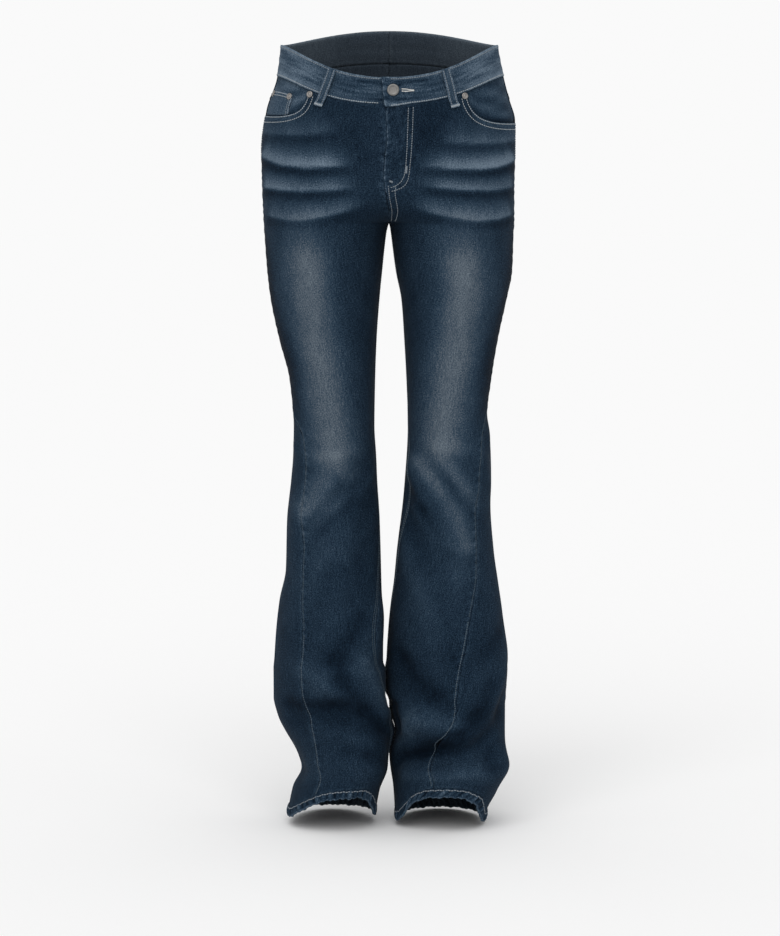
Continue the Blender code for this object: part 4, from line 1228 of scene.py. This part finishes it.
flareFades = {"right": -810, "left": -790}  # above this height the flare seam's thread has worn away
for side in sides:
    onLeft = side == "left"
    line = scoop(side, np.linspace(0, 1, 90))
    for inside in (1.6, 9.0):
        places = besideLine(line, inside)
        shown = (places[:, 0] < -0.015) & (places[:, 1] < -45)
        sew("pocketStitches", side, places[shown], finish=edgeThread)
    p = np.linspace(-0.995 if onLeft else -0.96, 0.995, 200)
    bandLift = 1.0 + (overlapLift(p) if onLeft else 0.0)
    sew("bandStitches", side, placesAt(p, -2.8, bandLift))
    sew("bandStitches", side, placesAt(p, bandBottom(side, p) + 2.6, bandLift), finish=edgeThread)
    levels = np.linspace(-500, hemTop(side) + 2, 120)
    flare = placesAt(flareSeam(side, levels) - 0.011, levels)
    worn = levels > flareFades[side]
    for part, finish in ((flare[worn], wornThread), (flare[~worn], blueThread)):
        sew("seamStitches", side, part, lift=0.6, finish=finish)
    levels = np.linspace(-250, hemTop(side) + 2, 160)
    for inside in (0.012, 0.028):
        row = placesAt(-inseam(side, levels) + inside, levels)
        sew("inseamStitches", side, row, lift=0.6, finish=blueThread if onLeft else wornThread)
    levels = np.linspace(scoop(side, np.array(1.0))[1] - 2, -160, 30)
    sew("sideStitches", side, placesAt(-0.012, levels), lift=0.6)
    p = np.linspace(0.01, 0.99, 120)
    for inside in (2.0, 7.6):
        sew("yokeStitches", side, placesAt(p, yokeLine(p) + inside), lift=0.6)
    grid = backPocketGrid(side)
    for inside in (1, 3):
        edges = (
            grid[2:-inside, inside], grid[-inside - 1, inside:-inside], grid[2:-inside, -inside - 1][::-1],
        )
        sew("backPocketStitches", side, np.concatenate(edges), lift=1.75)
    for inside in (3, 7):
        sew("backPocketStitches", side, grid[inside, 1:-1], lift=1.75)
    p = np.linspace(-1, 0.999, 300)
    row = placesAt(p, hemTop(side) - 1.8 + 0.5 * np.sin(p * 47 * np.pi))
    sew("hemStitches", side, row, lift=1.5, pitch=4.0, length=3.8, radius=0.8)
levels = np.linspace(-46, -238, 80)
for inside in (0.012, 0.036):
    sew("seatStitches", "left", placesAt(1 - inside, levels), lift=0.9)
# The coin pocket: two rows along its top, two down its inner edge
for inside in (1.6, 5.4):
    p = np.linspace(-0.415, -0.065, 20)
    sew("coinStitches", "right", placesAt(p, coinTop(p) - inside), lift=-1.1, finish=edgeThread)
    levels = np.linspace(-60, -91, 20)
    sew("coinStitches", "right", placesAt(coinPlace["inner"] + (inside + 0.2) / 210, levels), lift=-1.1)
loopBar = {"finish": edgeThread, "pitch": 0.8, "length": 2.8, "radius": 0.5, "crosswise": True}
for side, topP, bottomP in beltLoops["places"].values():
    share = np.linspace(0.02, 0.98, 40)
    for beside in (-0.0165, 0.0165):
        p = topP + (bottomP - topP) * share + beside
        row = placesAt(p, -1 - share * beltLoops["length"], loopLift(share) + 1.0)
        sew("loopStitches", side, row)
    row = placesAt(bottomP + np.linspace(-0.027, 0.027, 5), -59.6, loopLift(beltLoops["barAt"]) + 0.8)
    sew("loopStitches", side, row, **loopBar)

for (group, finish), rows in threads.items():
    mesh = bmesh.new()
    for row in rows:
        mesh.from_mesh(row)
        bpy.data.meshes.remove(row)
    piece = addPiece(group + finish.name.title().replace("thread", ""), mesh, [finish])
    print(group, "of", finish.name, len(piece.data.polygons), "faces")


# Stage, light and camera

studio = {
    "floorHeight": -1.094,
    "floorReach": 30.0,
    "worldLight": 0.72,
    "worldShown": 0.955,
    "sunStrength": 1.1,
    "sunSoftness": 50.0,
    "sunHeight": 45.0,
    "sunAside": -8.0,
}
# The floor is as grey as it takes to look as white as the world behind it
lightOnFloor = studio["sunStrength"] * math.sin(math.radians(studio["sunHeight"])) / math.pi
floorGrey = studio["worldShown"] / (studio["worldLight"] + lightOnFloor)

floorMesh = bmesh.new()
bmesh.ops.create_circle(floorMesh, cap_ends=True, segments=64, radius=studio["floorReach"])
bmesh.ops.translate(floorMesh, verts=floorMesh.verts[:], vec=(0, 0, studio["floorHeight"]))
floorTree = Tree("floorPaper")
floorTree.setShader({"Base Color": (floorGrey,) * 3 + (1,), "Roughness": 1.0, "Specular IOR Level": 0.0})
floor = addObject("floor", floorMesh, [floorTree.material])

world = bpy.data.worlds.new("studio")
world.use_nodes = True
worldNodes = world.node_tree.nodes
background = worldNodes["Background"]
background.inputs["Color"].default_value = (1, 1, 1, 1)
path = worldNodes.new("ShaderNodeLightPath")
strength = worldNodes.new("ShaderNodeMapRange")
strength.inputs["To Min"].default_value = studio["worldLight"]
strength.inputs["To Max"].default_value = studio["worldShown"]
world.node_tree.links.new(path.outputs["Is Camera Ray"], strength.inputs["Value"])
world.node_tree.links.new(strength.outputs[0], background.inputs["Strength"])
bpy.context.scene.world = world

sunData = bpy.data.lights.new("softSun", "SUN")
sunData.energy = studio["sunStrength"]
sunData.angle = math.radians(studio["sunSoftness"])
sun = bpy.data.objects.new("softSun", sunData)
sun.rotation_euler = (math.radians(90 - studio["sunHeight"]), 0, math.radians(studio["sunAside"]))
bpy.context.scene.collection.objects.link(sun)

cameraSettings = {"place": (0.0014, -4.5, -0.1375), "down": 5.711, "lens": 124.23, "sensor": 36.0}
cameraData = bpy.data.cameras.new("camera")
cameraData.sensor_fit = "VERTICAL"
cameraData.sensor_height = cameraData.sensor_width = cameraSettings["sensor"]
cameraData.lens = cameraSettings["lens"]
cameraData.clip_end = 100
camera = bpy.data.objects.new("camera", cameraData)
camera.location = cameraSettings["place"]
camera.rotation_euler = (math.radians(90 - cameraSettings["down"]), 0, 0)
bpy.context.scene.collection.objects.link(camera)
bpy.context.scene.camera = camera
bpy.context.scene.view_settings.view_transform = "Standard"
